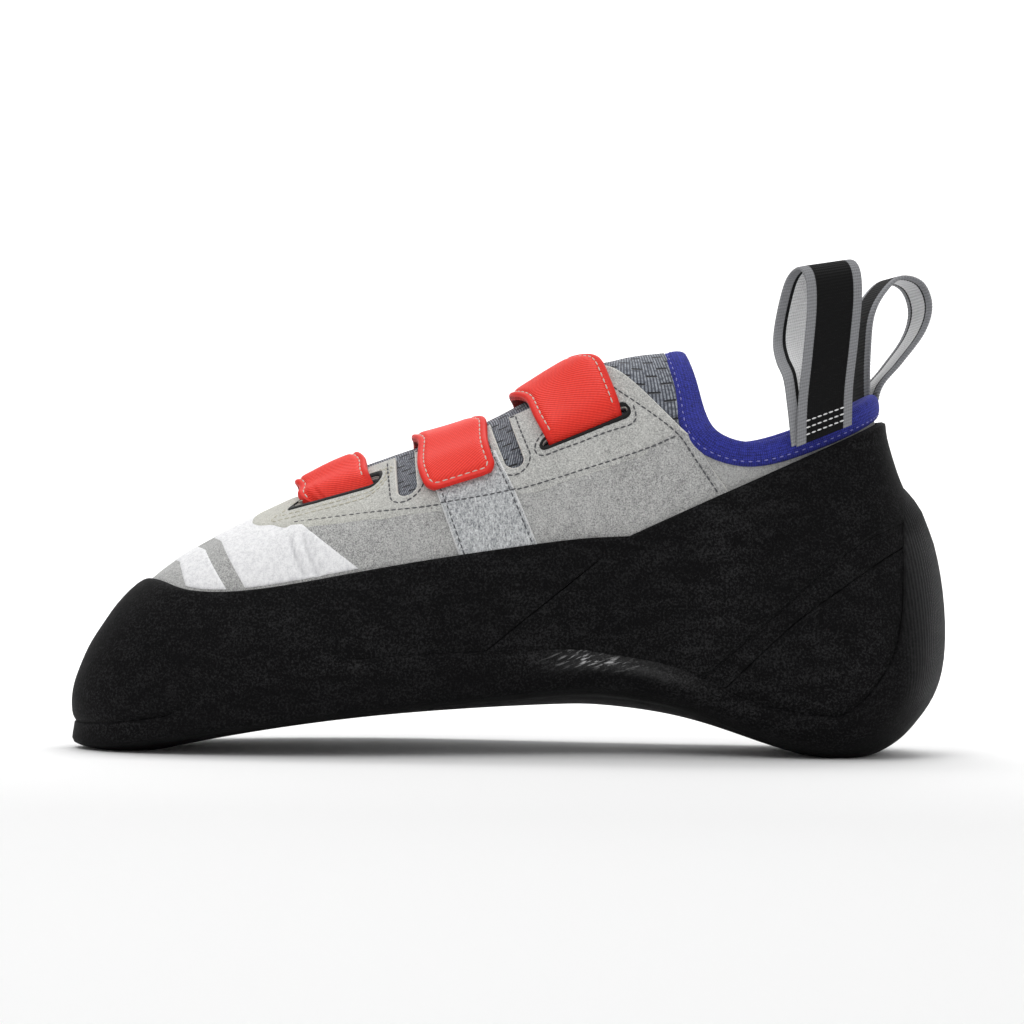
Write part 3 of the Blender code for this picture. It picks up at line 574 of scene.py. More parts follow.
upper_q = even_stations(-LAST, LAST, UPPER_STEP)[:-1]
upper_q, upper_v = np.meshgrid(upper_q, np.linspace(0, 1, UPPER_ROWS), indexing="ij")
upper_points, upper_faces = wall(
    layer(upper_q, upper_v, -LINING_DEPTH),
    layer(upper_q, upper_v, -WALL),
    ring=True,
)
upper_wears = (upper_faces >= upper_q.size).any(1)
upper = new_piece("upper_lining", upper_points, upper_faces, [BACKING, LINING], wears=upper_wears)
cutters = [cutter(slot_outline(strap)) for strap in STRAPS]
cutters += [cutter(notch_outline(notch, side, NOTCH_OPEN)) for notch in NOTCHES for side in (-1, 1)]
for tool in cutters:
    cut = upper.modifiers.new("cut", "BOOLEAN")
    cut.operation = "DIFFERENCE"
    cut.object = tool
bake(upper)
for tool in cutters:
    bpy.data.objects.remove(tool)
settle(upper, "lining", "upper")

# Quarters and vamp: one layer of grey suede over the lining, cut in the flat, wrapped round the toe
# and both sides, and held under the rand. Its raw edges show at the throat, the notches and the slant
# cut in front of the heel.
QUARTER_TOP = 0.0
QUARTER_STEP = 1.6
QUARTER_FOOT = 0.34
QUARTER_END = 7.85
EDGE_INSETS = (0.3, 0.75)
EDGE_CUT = 0.45
LINE_STEP = 0.3
WALL_FLAT = 100.0
# Slant rear edge, as lengths and heights seen from the inner side
QUARTER_REAR = [(57.3, 90.9), (63.4, 81.9), (72.0, 69.0)]
# Soft creases of the suede: two ends seen from the inner side, depth and width. Both banks of a crease
# stand up a little, by a share of its depth, some widths away
CREASE_LIP = 0.35
CREASE_REACH = 1.6
Crease = namedtuple("Crease", "x_0 z_0 x_1 z_1 depth width")
QUARTER_CREASES = [
    Crease(9.0, 79.0, 15.5, 66.0, 0.55, 3.4),
    Crease(30.0, 84.0, 33.0, 70.0, 0.25, 4.0),
    Crease(-38.0, 70.0, -31.0, 60.5, 0.25, 3.5),
    Crease(-62.0, 66.0, -57.5, 54.5, 0.6, 1.9),
    Crease(-65.8, 64.5, -61.5, 54.0, 0.5, 1.7),
]
SUEDE = suede("grey_suede", tint(120, 120, 120), tint(88, 88, 88), tint(206, 206, 204))
RAW_EDGE = suede("pale_cut_edge", tint(205, 204, 196), tint(180, 179, 170), tint(228, 227, 220))


def flatten(places):
    """Stations and shares as millimetres on the flat pattern."""
    q, v = np.asarray(places, float).T
    return np.stack([np.interp(q, RING_SCAN, RING_LENGTH), WALL_FLAT * v], -1)


def unflatten(points):
    return np.interp(points[:, 0], RING_LENGTH, RING_SCAN), points[:, 1] / WALL_FLAT


def even_line(points, step, closed=False):
    """The same line with points at most a step apart. Its corners stay."""
    points = np.asarray(points, float)
    ends = np.roll(points, -1, 0) if closed else points[1:]
    line = []
    for start, end in zip(points, ends):
        count = max(1, math.ceil(np.linalg.norm(end - start) / step))
        line += [start + (end - start) * i / count for i in range(count)]
    if not closed:
        line.append(points[-1])
    return np.array(line)


def inside(points, loop):
    """Which points lie inside a closed loop."""
    x, y = points.T
    hit = np.zeros(len(points), bool)
    for (x_0, y_0), (x_1, y_1) in zip(loop, np.roll(loop, -1, 0)):
        if y_0 != y_1:
            hit ^= ((y_0 > y) != (y_1 > y)) & (x < (x_1 - x_0) * (y - y_0) / (y_1 - y_0) + x_0)
    return hit


def right_of(ahead):
    """Directions to the right of some ways on the flat pattern."""
    return unit(np.stack([ahead[:, 1], -ahead[:, 0]], 1))


def offset_loop(loop, distance):
    """The closed loop moved outwards by a distance on the flat pattern."""
    out = right_of(np.roll(loop, -1, 0) - np.roll(loop, 1, 0))
    x, y = loop.T
    turn = np.sign((x * np.roll(y, -1) - np.roll(x, -1) * y).sum())
    return loop + out * distance * turn


def between(points, loops):
    """Which points lie inside the first loop and outside the others."""
    keep = inside(points, loops[0])
    for hole in loops[1:]:
        keep &= ~inside(points, hole)
    return keep


def near_tree(points):
    """Tree that finds the nearest of some points."""
    tree = KDTree(len(points))
    for i, point in enumerate(points):
        tree.insert(point, i)
    tree.balance()
    return tree


def cut_panel(outline, holes, step):
    """Triangles of a flat panel inside an outline, and its loops, in millimetres of the pattern."""
    loops = [even_line(flatten(loop), step, closed=True) for loop in (outline, *holes)]
    points = [point for loop in loops for point in loop]
    edges, first = [], 0
    for loop in loops:
        count = len(loop)
        edges += [(first + i, first + (i + 1) % count) for i in range(count)]
        first += count
    low, high = loops[0].min(0), loops[0].max(0)
    x, y = np.meshgrid(np.arange(low[0], high[0], step), np.arange(low[1], high[1], step * 0.866))
    x[1::2] += step / 2
    lattice = np.stack([x.ravel(), y.ravel()], 1)
    clear = near_tree([(*point, 0) for point in points])
    extra = [(point, 0.6 * step) for point in lattice]
    for inset in EDGE_INSETS:
        for i, loop in enumerate(loops):
            extra += [(point, 0.9 * inset) for point in offset_loop(loop, inset if i else -inset)]
    keep = np.array([clear.find((*point, 0))[2] >= room for point, room in extra])
    extra = np.array([point for point, room in extra])[keep]
    everything = [Vector(point) for point in points]
    everything += [Vector(point) for point in extra[between(extra, loops)]]
    made, _, faces, *_ = delaunay_2d_cdt(everything, edges, [], 0, 1e-4)
    made, faces = np.array(made), np.array(faces)
    return made, faces[between(made[faces].mean(1), loops)], loops


def distance_to(points, lines):
    """Distance of each point from the nearest of some lines of points."""
    tree = near_tree(np.concatenate([even_line(line, LINE_STEP) for line in lines]))
    return np.array([tree.find(point)[2] for point in points])


def panel(name, outline, low, high, finishes, holes=(), step=1.2, edge=0.5, raw=0.45, shape=None):
    """Panel of the skin between two distances from it, with rounded edges.

    shape(points, edge_distance) is added to the upper face. The cut edge, and the face as far in as
    raw, wear the last finish.
    """
    flat, faces, loops = cut_panel(outline, holes, step)
    q, v = unflatten(flat)
    ground = skin(q, v)
    rim = distance_to(ground, [skin(*unflatten(np.concatenate([loop, loop[:1]]))) for loop in loops])
    height = part_way(low, high, EDGE_CUT + (1 - EDGE_CUT) * rounded(rim, edge))
    if shape is not None:
        height = height + shape(ground, rim)
    count = len(flat)
    points = np.concatenate([layer(q, v, height), layer(q, v, low)])
    sides = np.sort(np.concatenate([faces[:, [0, 1]], faces[:, [1, 2]], faces[:, [2, 0]]]), axis=1)
    sides, times = np.unique(sides, axis=0, return_counts=True)
    sides = sides[times == 1]
    strips = np.stack([sides[:, 0], sides[:, 1], sides[:, 1] + count, sides[:, 0] + count], 1)
    near_edge = (rim[faces] < raw).all(1)
    every = faces.tolist() + (faces[:, ::-1] + count).tolist() + strips.tolist()
    pale = len(finishes) - 1
    wears = np.concatenate([near_edge * pale, np.zeros(len(faces)), np.full(len(strips), pale)])
    return new_piece(name, points, every, finishes, sharp=50, spread=np.tile(flat, (2, 1)), wears=wears)


def throat_edge(side):
    """Edge of the throat on one side with its notches, from the toe to the slant rear edge."""
    line = [(side * q, 1.0) for q in np.linspace(0, 3.4, 18)]
    for notch in NOTCHES:
        cut = notch_outline(notch, side)
        start = abs(line[-1][0])
        stop = abs(cut[0][0])
        line += [(side * q, 1.0) for q in np.linspace(start, stop, 12)[1:-1]]
        line += cut
    line += [(side * q, 1.0) for q in np.linspace(abs(line[-1][0]), QUARTER_END, 30)[1:]]
    return line


def trough(points, creases):
    """Soft troughs along the creases, on both sides of the shoe."""
    drop = np.zeros(len(points))
    for crease in creases:
        start, end = on_skin(crease.x_0, crease.z_0), on_skin(crease.x_1, crease.z_1)
        q, v = np.linspace(start, end, 12).T
        lines = [skin(side * q, v) for side in (-1, 1)]
        fade = distance_to(points, lines) / crease.width
        drop -= crease.depth * (bell(fade, 1) - CREASE_LIP * bell(fade - CREASE_REACH, 1))
    return drop


quarter_rear = [on_skin(*place) for place in QUARTER_REAR]
quarter_tops, quarter_feet = {}, {}
for side in (-1, 1):
    quarter_tops[side] = throat_edge(side)[1:] + [(side * q, v) for q, v in quarter_rear]
    foot_q = np.linspace(quarter_rear[-1][0], 0.05, 80)
    quarter_feet[side] = [(side * q, QUARTER_FOOT) for q in foot_q]
quarter_outline = quarter_tops[-1][::-1] + [(0.0, 1.0)] + quarter_tops[1]
quarter_outline += quarter_feet[1] + quarter_feet[-1][::-1]
SLOTS = [slot_outline(strap) for strap in STRAPS]
quarters = panel(
    "suede_quarters", quarter_outline, -LINING_DEPTH, QUARTER_TOP, [SUEDE, RAW_EDGE],
    holes=SLOTS, step=QUARTER_STEP, shape=lambda points, rim: trough(points, QUARTER_CREASES),
)
settle(quarters, "suede")

# Toe film: a thin white film bonded to the suede over the toes in two bands, with slanting strips of
# suede left bare between them. It is grained like the suede under it and crinkled where the toes bend.
FILM_TOP = 0.24
FILM_GAP = 0.012
FILM_STEP = 0.8
FOLD_SHADE_WIDTH = 0.75
# Edges of the bands from the rear forwards: both ends seen from the inner side, the high one first,
# and the length along the shoe where the edge crosses the middle of the toes
FilmEdge = namedtuple("FilmEdge", "x_high z_high x_low z_low crest")
FILM_EDGES = [
    FilmEdge(-62.8, 68.6, -46.2, 56.5, -69.0),
    FilmEdge(-87.4, 63.0, -78.2, 48.4, -90.5),
    FilmEdge(-92.2, 60.4, -83.9, 48.1, -95.5),
    FilmEdge(-100.0, 56.6, -97.2, 50.0, -102.0),
]
# Rubber on the sections: top of the outsole's lip and of the toe rand on both sides, in percent of
# INSTEP_HEIGHT, and the lip's thickness in millimetres
Rubber = namedtuple("Rubber", "lip_m lip_l lip_thick rand_m rand_l")
RUBBER = [
    Rubber(5.8, 5.8, 2.4, 43.3, 43.3),
    Rubber(5.8, 5.8, 2.4, 43.4, 39.5),
    Rubber(9.3, 8.2, 2.4, 41.2, 34.3),
    Rubber(18.9, 12.0, 2.5, 42.0, 32.6),
    Rubber(24.5, 14.6, 2.6, 46.1, 35.2),
    Rubber(27.0, 17.2, 3.0, 50.8, 39.5),
    Rubber(28.8, 20.6, 4.4, 55.4, 45.5),
    Rubber(27.6, 20.8, 4.6, 56.7, 49.8),
    Rubber(22.8, 18.6, 4.2, 57.5, 53.2),
    Rubber(11.6, 13.2, 4.4, 57.5, 53.2),
    Rubber(12.5, 12.5, 4.4, 57.5, 53.2),
    Rubber(12.5, 12.5, 4.4, 57.5, 53.2),
]
RUBBER_LINES = Ring(
    [(row.lip_l, row.lip_thick, row.rand_l) for row in RUBBER],
    [(row.lip_m, row.lip_thick, row.rand_m) for row in RUBBER],
)
SHARE_SCAN = np.linspace(0.15, 1, 240)


def share_where(stations, level):
    """Share of the wall at which level(points, station) rises through nought, at each station."""
    shares = [np.interp(0, level(skin(station, SHARE_SCAN), station), SHARE_SCAN) for station in stations]
    return np.array(shares)


def crest_share(x):
    """Share of the wall in the middle of the toes at a length along the shoe."""
    return np.interp(x, skin(0.0, SHARE_SCAN)[:, 0], SHARE_SCAN)


def toe_rand_share(stations):
    """Share of the wall at the toe rand's top edge."""
    top = RUBBER_LINES.at(np.asarray(stations, float))[..., 2] * INSTEP_HEIGHT / 100
    tops = dict(zip(stations, top))
    return share_where(stations, lambda p, s: p[:, 2] - tops[s])


def film_edge(edge):
    """Edge of a film band: straight up from the rand on the inner side, over the toes, and down again."""
    way = np.linspace(-0.3, 1, 27)
    x = part_way(edge.x_low, edge.x_high, way)
    z = part_way(edge.z_low, edge.z_high, way)
    q, v = np.array([on_skin(*place) for place in zip(x, z)]).T
    line = []
    for side in (-1, 1):
        foot = np.interp(0, v - toe_rand_share(side * q) - FILM_GAP, way)
        straight = np.linspace(foot, 1, 20)
        straight = np.stack([side * np.interp(straight, way, q), np.interp(straight, way, v)], 1)
        before, high = straight[-2:]
        knots = [before * 4 - high * 3, high, (0, crest_share(edge.crest)), (-high[0], high[1])]
        half = np.concatenate([straight, hermite_line(knots, np.linspace(1, 2, 10)[1:])])
        line += list(half) if side < 0 else list(half[-2::-1])
    return line


def hermite_line(values, place):
    """Value at a place between rows of an open table, on a smooth curve through them."""
    values = np.asarray(values, float)
    tangents = np.gradient(values, axis=0)
    row = np.clip(np.floor(place).astype(int), 0, len(values) - 2)
    return hermite(values[row], values[row + 1], tangents[row], tangents[row + 1], place - row)


def film_band(rear, front):
    """Outline of a band of film between two edges, along the rand on both sides."""
    ends = []
    for start, stop in ((rear[-1][0], front[-1][0]), (front[0][0], rear[0][0])):
        q = np.linspace(start, stop, 40)[1:-1]
        ends.append(list(zip(q, toe_rand_share(q) + FILM_GAP)))
    return rear + ends[0] + front[::-1] + ends[1]


def crinkled_film():
    """White film: the nap under it shows as grain, with fine crinkles, a soft gloss and painted shade in its
    folds.
    """
    made = Finish("white_film", Roughness=0.42)
    place = made.place()
    nap = made.noise(place, 2300, 3, 0.65)
    crinkle = made.noise(made.place(stretch=(1.0, 1.0, 0.3), turn=(0, math.radians(24), 0)), 900, 4, 0.6)
    shade = made.span(made.maths("ADD", nap, crinkle), 0.7, 1.15)
    white = made.mix(shade, tint(204, 204, 207), tint(236, 236, 237))
    # Painted shade: along the folds the white turns grey, where the creased film would lie in shade.
    fold_shade = made.maths("MULTIPLY", made.mark("fold_shade"), made.span(crinkle, 0.38, 0.62, 0.1, 0.85))
    height = made.maths("MULTIPLY_ADD", crinkle, 1.3, made.maths("MULTIPLY", nap, 0.5))
    return made.surface(made.mix(fold_shade, white, tint(160, 160, 164)), height, 0.3, 0.8)


FILM = crinkled_film()
# Narrow lines along the two toe creases, where the film is painted grey as painted shade.
FOLDS = [crease._replace(depth=1.0, width=FOLD_SHADE_WIDTH) for crease in QUARTER_CREASES[3:]]
film_lines = [film_edge(edge) for edge in FILM_EDGES]
for number, (rear, front) in enumerate((film_lines[:2], film_lines[2:]), 1):
    band = panel(
        f"toe_film_{number}", film_band(rear, front), QUARTER_TOP - 0.05, FILM_TOP, [FILM],
        step=FILM_STEP, edge=0.2, shape=lambda points, rim: trough(points, QUARTER_CREASES),
    )
    spots = np.array([vertex.co for vertex in band.data.vertices]) / MM
    mark_points(band.data, "fold_shade", np.clip(-trough(spots, FOLDS), 0, 1))
    settle(band, "suede")

# Facing: a second layer of suede round the throat, with a raw edge at its nose over the film and its
# lower edge pared thin. One row of dark thread sews it down, and more rows ring the slots and notches.
FACING_TOP = 0.45
FACING_THIN = 0.05
FACING_PARE = 3.2
FACING_CREST = -75.5
PARED_FROM = 14
NOSE_FADE = (-75, -20)
NOSE_PALE = 0.42
# Lower edge and stitch line from the nose backwards, as lengths and heights seen from the inner side
FACING_FOOT = [
    (-72.5, 68.0), (-65.0, 67.3), (-44.0, 70.0), (-22.6, 73.0),
    (0.9, 77.6), (21.0, 83.8), (39.2, 90.2),
]
FACING_ROW = [
    (-64.6, 69.2), (-43.8, 72.2), (-22.6, 74.9), (0.9, 79.7),
    (21.1, 86.0), (39.2, 92.2), (48.0, 96.0),
]
REAR_ROW = [(30.5, 110.5), (41.0, 103.5), (49.5, 97.0), (54.6, 89.8), (61.0, 80.4)]
# Station and share of the lower edge's rear end
FACING_END = (7.72, 0.985)
THREAD_PITCH = 2.1
THREAD_LENGTH = 1.75
THREAD_RADIUS = 0.27
SLOT_ROW = 2.7
NOSE_ROWS = (2.4, 4.0)
NOTCH_ROW = 2.2
ROW_STEP = 0.8
ROW_TOP = 0.995
RING_TOP = 0.985
# Heights of the rows over the skin, and how deep and wide the thread pulls the facing in
ROW_HEIGHT = 0.2
REAR_HEIGHT = 0.3
RING_HEIGHT = 0.36
THREAD_DIP = 0.22
DIP_WIDTH = 0.55


def thread(name, colour, dark):
    """Twisted thread: fine slanting bands."""
    made = Finish(name, Roughness=0.75)
    place = made.place(turn=(0.5, 0.6, 0.4))
    twist = made.wave(place, 0.35, 1.0)
    return made.surface(made.mix(twist, dark, colour), twist, 0.06, 0.6)


def stitch_tree():
    """Geometry nodes: a stitch at each pitch along every line of a mesh of edges."""
    tree = bpy.data.node_groups.new("stitch_row", "GeometryNodeTree")
    tree.interface.new_socket("Lines", in_out="INPUT", socket_type="NodeSocketGeometry")
    for title in ("Pitch", "Length", "Radius"):
        tree.interface.new_socket(title, in_out="INPUT", socket_type="NodeSocketFloat")
    tree.interface.new_socket("Thread", in_out="INPUT", socket_type="NodeSocketMaterial")
    tree.interface.new_socket("Stitches", in_out="OUTPUT", socket_type="NodeSocketGeometry")
    add = tree.nodes.new
    given, made = add("NodeGroupInput"), add("NodeGroupOutput")
    curve, spots = add("GeometryNodeMeshToCurve"), add("GeometryNodeCurveToPoints")
    spots.mode = "LENGTH"
    bead, shape = add("GeometryNodeMeshUVSphere"), add("GeometryNodeTransform")
    bead.inputs["Segments"].default_value = 6
    bead.inputs["Rings"].default_value = 5
    bead.inputs["Radius"].default_value = 1
    size, half = add("ShaderNodeCombineXYZ"), add("ShaderNodeMath")
    half.operation = "MULTIPLY"
    half.inputs[1].default_value = 0.5
    sow, real = add("GeometryNodeInstanceOnPoints"), add("GeometryNodeRealizeInstances")
    wear = add("GeometryNodeSetMaterial")
    for source, output, target, socket in (
        (given, "Lines", curve, "Mesh"),
        (curve, "Curve", spots, "Curve"),
        (given, "Pitch", spots, "Length"),
        (given, "Length", half, 0),
        (given, "Radius", size, "X"),
        (given, "Radius", size, "Y"),
        (half, 0, size, "Z"),
        (bead, "Mesh", shape, "Geometry"),
        (size, 0, shape, "Scale"),
        (spots, "Points", sow, "Points"),
        (spots, "Rotation", sow, "Rotation"),
        (shape, "Geometry", sow, "Instance"),
        (sow, "Instances", real, "Geometry"),
        (real, "Geometry", wear, "Geometry"),
        (given, "Thread", wear, "Material"),
        (wear, "Geometry", made, "Stitches"),
    ):
        tree.links.new(source.outputs[output], target.inputs[socket])
    return tree


STITCH_TREE = stitch_tree()


def run_tree(tree, piece, **values):
    """Runs a tree on a piece with its inputs set by identifier, and keeps the result as a plain mesh."""
    modifier = piece.modifiers.new(tree.name, "NODES")
    modifier.node_group = tree
    for item in tree.interface.items_tree:
        if item.item_type == "SOCKET" and item.name in values:
            modifier[item.identifier] = values[item.name]
    bake(piece)
    piece.data.shade_smooth()


def stitches(name, lines, finish, slot, pitch=THREAD_PITCH, length=THREAD_LENGTH, radius=THREAD_RADIUS):
    """Rows of stitches along lines of points in millimetres."""
    points = [point for line in lines for point in line]
    edges, first = [], 0
    for line in lines:
        edges += [(first + i, first + i + 1) for i in range(len(line) - 1)]
        first += len(line)
    mesh = bpy.data.meshes.new(name)
    mesh.from_pydata((np.array(points) * MM).tolist(), edges, [])
    made = add_object(name, mesh)
    sizes = {"Pitch": pitch * MM, "Length": length * MM, "Radius": radius * MM}
    run_tree(STITCH_TREE, made, Thread=finish.material, **sizes)
    settle(made, slot)


def side_line(places, count):
    """Smooth line through places seen from the inner side, as stations without sign and shares."""
    seen = hermite_line(places, np.linspace(0, len(places) - 1, count))
    return np.array([on_skin(x, z) for x, z in seen])


DARK_THREAD = thread("dark_thread", tint(96, 97, 100), tint(58, 59, 62))
facing_foot = np.concatenate([side_line(FACING_FOOT, 90), [FACING_END]])
facing_outline = [(0.0, crest_share(FACING_CREST))]
facing_outline += [(q, v) for q, v in facing_foot] + [(QUARTER_END - 0.02, 0.9999)]
facing_outline += throat_edge(1)[-2:0:-1] + [(0.0, 1.0)] + throat_edge(-1)[1:-1]
facing_outline += [(-QUARTER_END + 0.02, 0.9999)] + [(-q, v) for q, v in facing_foot[::-1]]
pared_q, pared_v = facing_foot[PARED_FROM:].T
PARED = [skin(side * pared_q, pared_v) for side in (-1, 1)]
facing_row = side_line(FACING_ROW, 90)
rear_row = side_line(REAR_ROW, 50)
flat_slots = [flatten(slot) for slot in SLOTS]
slot_rows, nose_rows = [], []
for number, flat_slot in enumerate(flat_slots):
    for reach in (SLOT_ROW,) if number else NOSE_ROWS:
        loop = offset_loop(even_line(flat_slot, ROW_STEP, closed=True), reach)
        low_x, low_y = flat_slot[np.argsort(flat_slot[:21, 0])].T
        under = loop[:, 1] < np.interp(loop[:, 0], low_x, low_y)
        beyond = (loop[:, 0] < low_x[0]) | (loop[:, 0] > low_x[-1])
        loop = loop[(under | beyond) & (loop[:, 1] < RING_TOP * WALL_FLAT)]
        start = np.linalg.norm(np.diff(loop, axis=0), axis=1).argmax() + 1
        (slot_rows if number else nose_rows).append(np.roll(loop, -start, 0))
notch_rows = []
for notch in NOTCHES:
    for side in (-1, 1):
        line = even_line(flatten(notch_outline(notch, side)), ROW_STEP)
        notch_rows.append(line + right_of(np.gradient(line, axis=0)) * NOTCH_ROW * side)


def sewn(line, height):
    """Points at a height over the skin along a line on the flat pattern."""
    q, v = unflatten(line)
    return layer(q, np.minimum(v, ROW_TOP), height)


def sewn_twice(row, height):
    """Points at a height over the skin along a row of stations and shares, on both sides."""
    return [layer(side * row[:, 0], row[:, 1], height) for side in (-1, 1)]


SEWN_DOWN = sewn_twice(facing_row, 0.0)
SEWN_DOWN += [sewn(line, 0.0) for line in slot_rows + nose_rows + notch_rows]
SEWN_DOWN += sewn_twice(rear_row, 0.0)


def facing_shape(points, rim):
    """The facing thins to its lower edge, and dips where thread pulls it down."""
    pared = smooth_step(distance_to(points, PARED), 0, FACING_PARE)
    dip = THREAD_DIP * bell(distance_to(points, SEWN_DOWN), DIP_WIDTH)
    return (FACING_THIN - FACING_TOP) * (1 - pared) - dip + trough(points, QUARTER_CREASES) * 0.6


FACING_SUEDE = suede("facing_suede", tint(142, 142, 140), tint(112, 112, 111), tint(216, 216, 212))
facing_grey = FACING_SUEDE.shader.inputs["Base Color"].links[0].from_socket
facing_x = FACING_SUEDE.node("ShaderNodeSeparateXYZ", {"Vector": FACING_SUEDE.place()}).outputs["X"]
facing_nose = FACING_SUEDE.span(facing_x, NOSE_FADE[0] * MM, NOSE_FADE[1] * MM, NOSE_PALE, 0.0)
FACING_SUEDE.give("Base Color", FACING_SUEDE.mix(facing_nose, facing_grey, tint(208, 206, 190)))
facing = panel(
    "suede_facing", facing_outline, QUARTER_TOP - 0.1, FACING_TOP, [FACING_SUEDE, RAW_EDGE],
    holes=SLOTS, step=1.0, edge=0.45, shape=facing_shape,
)
settle(facing, "suede")
sewn_lines = sewn_twice(facing_row, ROW_HEIGHT) + sewn_twice(rear_row, REAR_HEIGHT)
sewn_lines += [sewn(line, RING_HEIGHT) for line in slot_rows + notch_rows]
stitches("facing_stitches", sewn_lines, DARK_THREAD, "suede")
CREAM_THREAD = thread("cream_thread", tint(214, 211, 196), tint(160, 157, 142))
stitches("nose_stitches", [sewn(line, RING_HEIGHT) for line in nose_rows], CREAM_THREAD, "suede")

# Slot rims: flat black rubber rings bonded round the three slots, so that the straps slide without
# cutting the suede.
RIM_WIDTH = 1.2
RIM_TOP = 0.7


def rim_rubber():
    made = Finish("rim_rubber", Roughness=0.5, Specular_IOR_Level=0.2)
    place = made.place()
    grain = made.noise(place, 900, 2)
    return made.surface(made.mix(grain, tint(8, 8, 9), tint(22, 22, 23)), grain, 0.08, 0.5)


RIM_RUBBER = rim_rubber()
for strap, slot, flat_slot in zip(STRAPS, SLOTS, flat_slots):
    outer = offset_loop(even_line(flat_slot, ROW_STEP, closed=True), RIM_WIDTH)
    q, v = unflatten(outer)
    rim_piece = panel(
        "slot_rim_" + strap.name, list(zip(q, np.minimum(v, ROW_TOP))), 0.1, RIM_TOP, [RIM_RUBBER],
        holes=[slot], step=0.7, edge=0.6,
    )
    settle(rim_piece, "rubber")

# Fastening patches: squares of light grey loop pile sewn to the suede where the free ends of the straps
# land, one on the inner side for the middle strap and two on the outer side.
PATCH_TOP = 1.45
PATCH_ROW = 1.3
PILE_SWELL = 0.12
PILE_WAVES = ((2.9, 3.7, 2.3), (1.7, -2.6, 3.3))
# Corners of the patches, as lengths and heights seen from their side
Patch = namedtuple("Patch", "name side corners")
PATCHES = [
    Patch("middle", -1, [(-24.5, 86.0), (-5.0, 91.0), (7.2, 64.5), (10.0, 58.0), (-14.5, 57.0)]),
    Patch("toe", 1, [(-65.7, 58.8), (-41.7, 67.0), (-39.8, 40.4), (-63.8, 36.0)]),
    Patch("instep", 1, [(4.7, 77.9), (29.7, 88.6), (37.3, 46.2), (12.3, 44.7)]),
]


def loop_pile():
    """Fuzzy loop pile: tangled fine threads, painted pale where the pile stands high and dark between, as
    painted shade.
    """
    made = Finish("loop_pile", Roughness=1.0, Sheen_Weight=0.4)
    place = made.place()
    tangle = made.noise(place, 1900, 4, 0.75)
    fibre = made.noise(made.place(stretch=(1, 1, 0.35), turn=(0, 0.4, 0)), 1500, 3, 0.7)
    both = made.maths("MULTIPLY_ADD", fibre, 0.6, made.maths("MULTIPLY", tangle, 0.6))
    # Painted shade: the same tangle that raises the pile's bumps pales their tops and darkens the hollows
    # between.
    fleck = made.span(both, 0.45, 0.75)
    return made.surface(made.mix(fleck, tint(104, 107, 112), tint(226, 228, 229)), both, 0.5, 1.0)


def ripples(points, depth, waves):
    """Uneven swell of a depth over a piece, from two waves that cross."""
    first, second = waves
    return depth * np.sin(points @ first) * np.sin(points @ second)


PILE = loop_pile()
PILE_EDGE = suede("pile_cut_edge", tint(206, 207, 208), tint(188, 189, 190), tint(236, 237, 237))
PALE_THREAD = thread("pale_thread", tint(226, 218, 208), tint(176, 166, 154))
for patch in PATCHES:
    outline = [on_skin(x, z, patch.side) * (patch.side, 1) for x, z in patch.corners]
    square = panel(
        "fastening_patch_" + patch.name, outline, QUARTER_TOP - 0.1, PATCH_TOP, [PILE, PILE_EDGE],
        step=0.9, edge=1.0, raw=0.8, shape=lambda points, rim: ripples(points, PILE_SWELL, PILE_WAVES),
    )
    settle(square, "suede")
    row = offset_loop(even_line(flatten(outline), ROW_STEP, closed=True), -PATCH_ROW)
    q, v = unflatten(np.concatenate([row, row[:1]]))
    rows = [layer(q, v, PATCH_TOP - 0.1)]
    if patch.side < 0:
        over = [place for place in facing_row * (-1, 1) if inside(flatten([place]), flatten(outline))[0]]
        rows.append(layer(*np.array(over).T, PATCH_TOP - 0.05))
    stitches("patch_stitches_" + patch.name, rows, DARK_THREAD, "suede")

# Insole: a board with a thin grey sock, laid inside on the margin where the upper is glued under.
GAP = 0.3
INSOLE = 2.0
INSOLE_BOW = 1.0
INSOLE_STEP = 2.4
BOW_SHARE = 0.06
INSOLE_SHARES = np.linspace(0.17, 0, 8)


def across_bottom(sides, drop, count):
    """Points between the last rows of two sides under the foot, bowed down in the middle."""
    edge_m, edge_l = (side[:, -1] for side in sides)
    share = (np.arange(count) + 1) / (count + 1)
    rows = part_way(edge_m[:, None], edge_l[:, None], share[:, None])
    width = np.linalg.norm(edge_l - edge_m, axis=-1)
    rows[..., 2] -= np.minimum(drop, width * BOW_SHARE)[:, None] * 4 * share * (1 - share)
    return rows


def side_rows(stations, shares, distance):
    """Rows of points up the inner and the outer side, at a distance outside the skin."""
    return [layer(side * stations[:, None], shares, distance) for side in (-1, 1)]


def side_to_side(sides, middle):
    """Grid from the inner side over what lies between to the outer side."""
    inner, outer = sides
    return np.concatenate([inner, middle, outer[:, ::-1]], 1)


insole_q = even_stations(0, LAST, INSOLE_STEP)
insole_layers = []
for depth in (WALL + GAP + INSOLE, WALL + GAP):
    sides = side_rows(insole_q, INSOLE_SHARES, -depth)
    insole_layers.append(side_to_side(sides, across_bottom(sides, INSOLE_BOW, 12)))
SOCK = woven("grey_sock", tint(120, 121, 124), tint(84, 85, 88), 0.9)
insole_points, insole_faces = wall(*insole_layers, ends=(False, False))
insole = new_piece("insole_board", insole_points, insole_faces, [SOCK])
settle(insole, "lining", "insole")

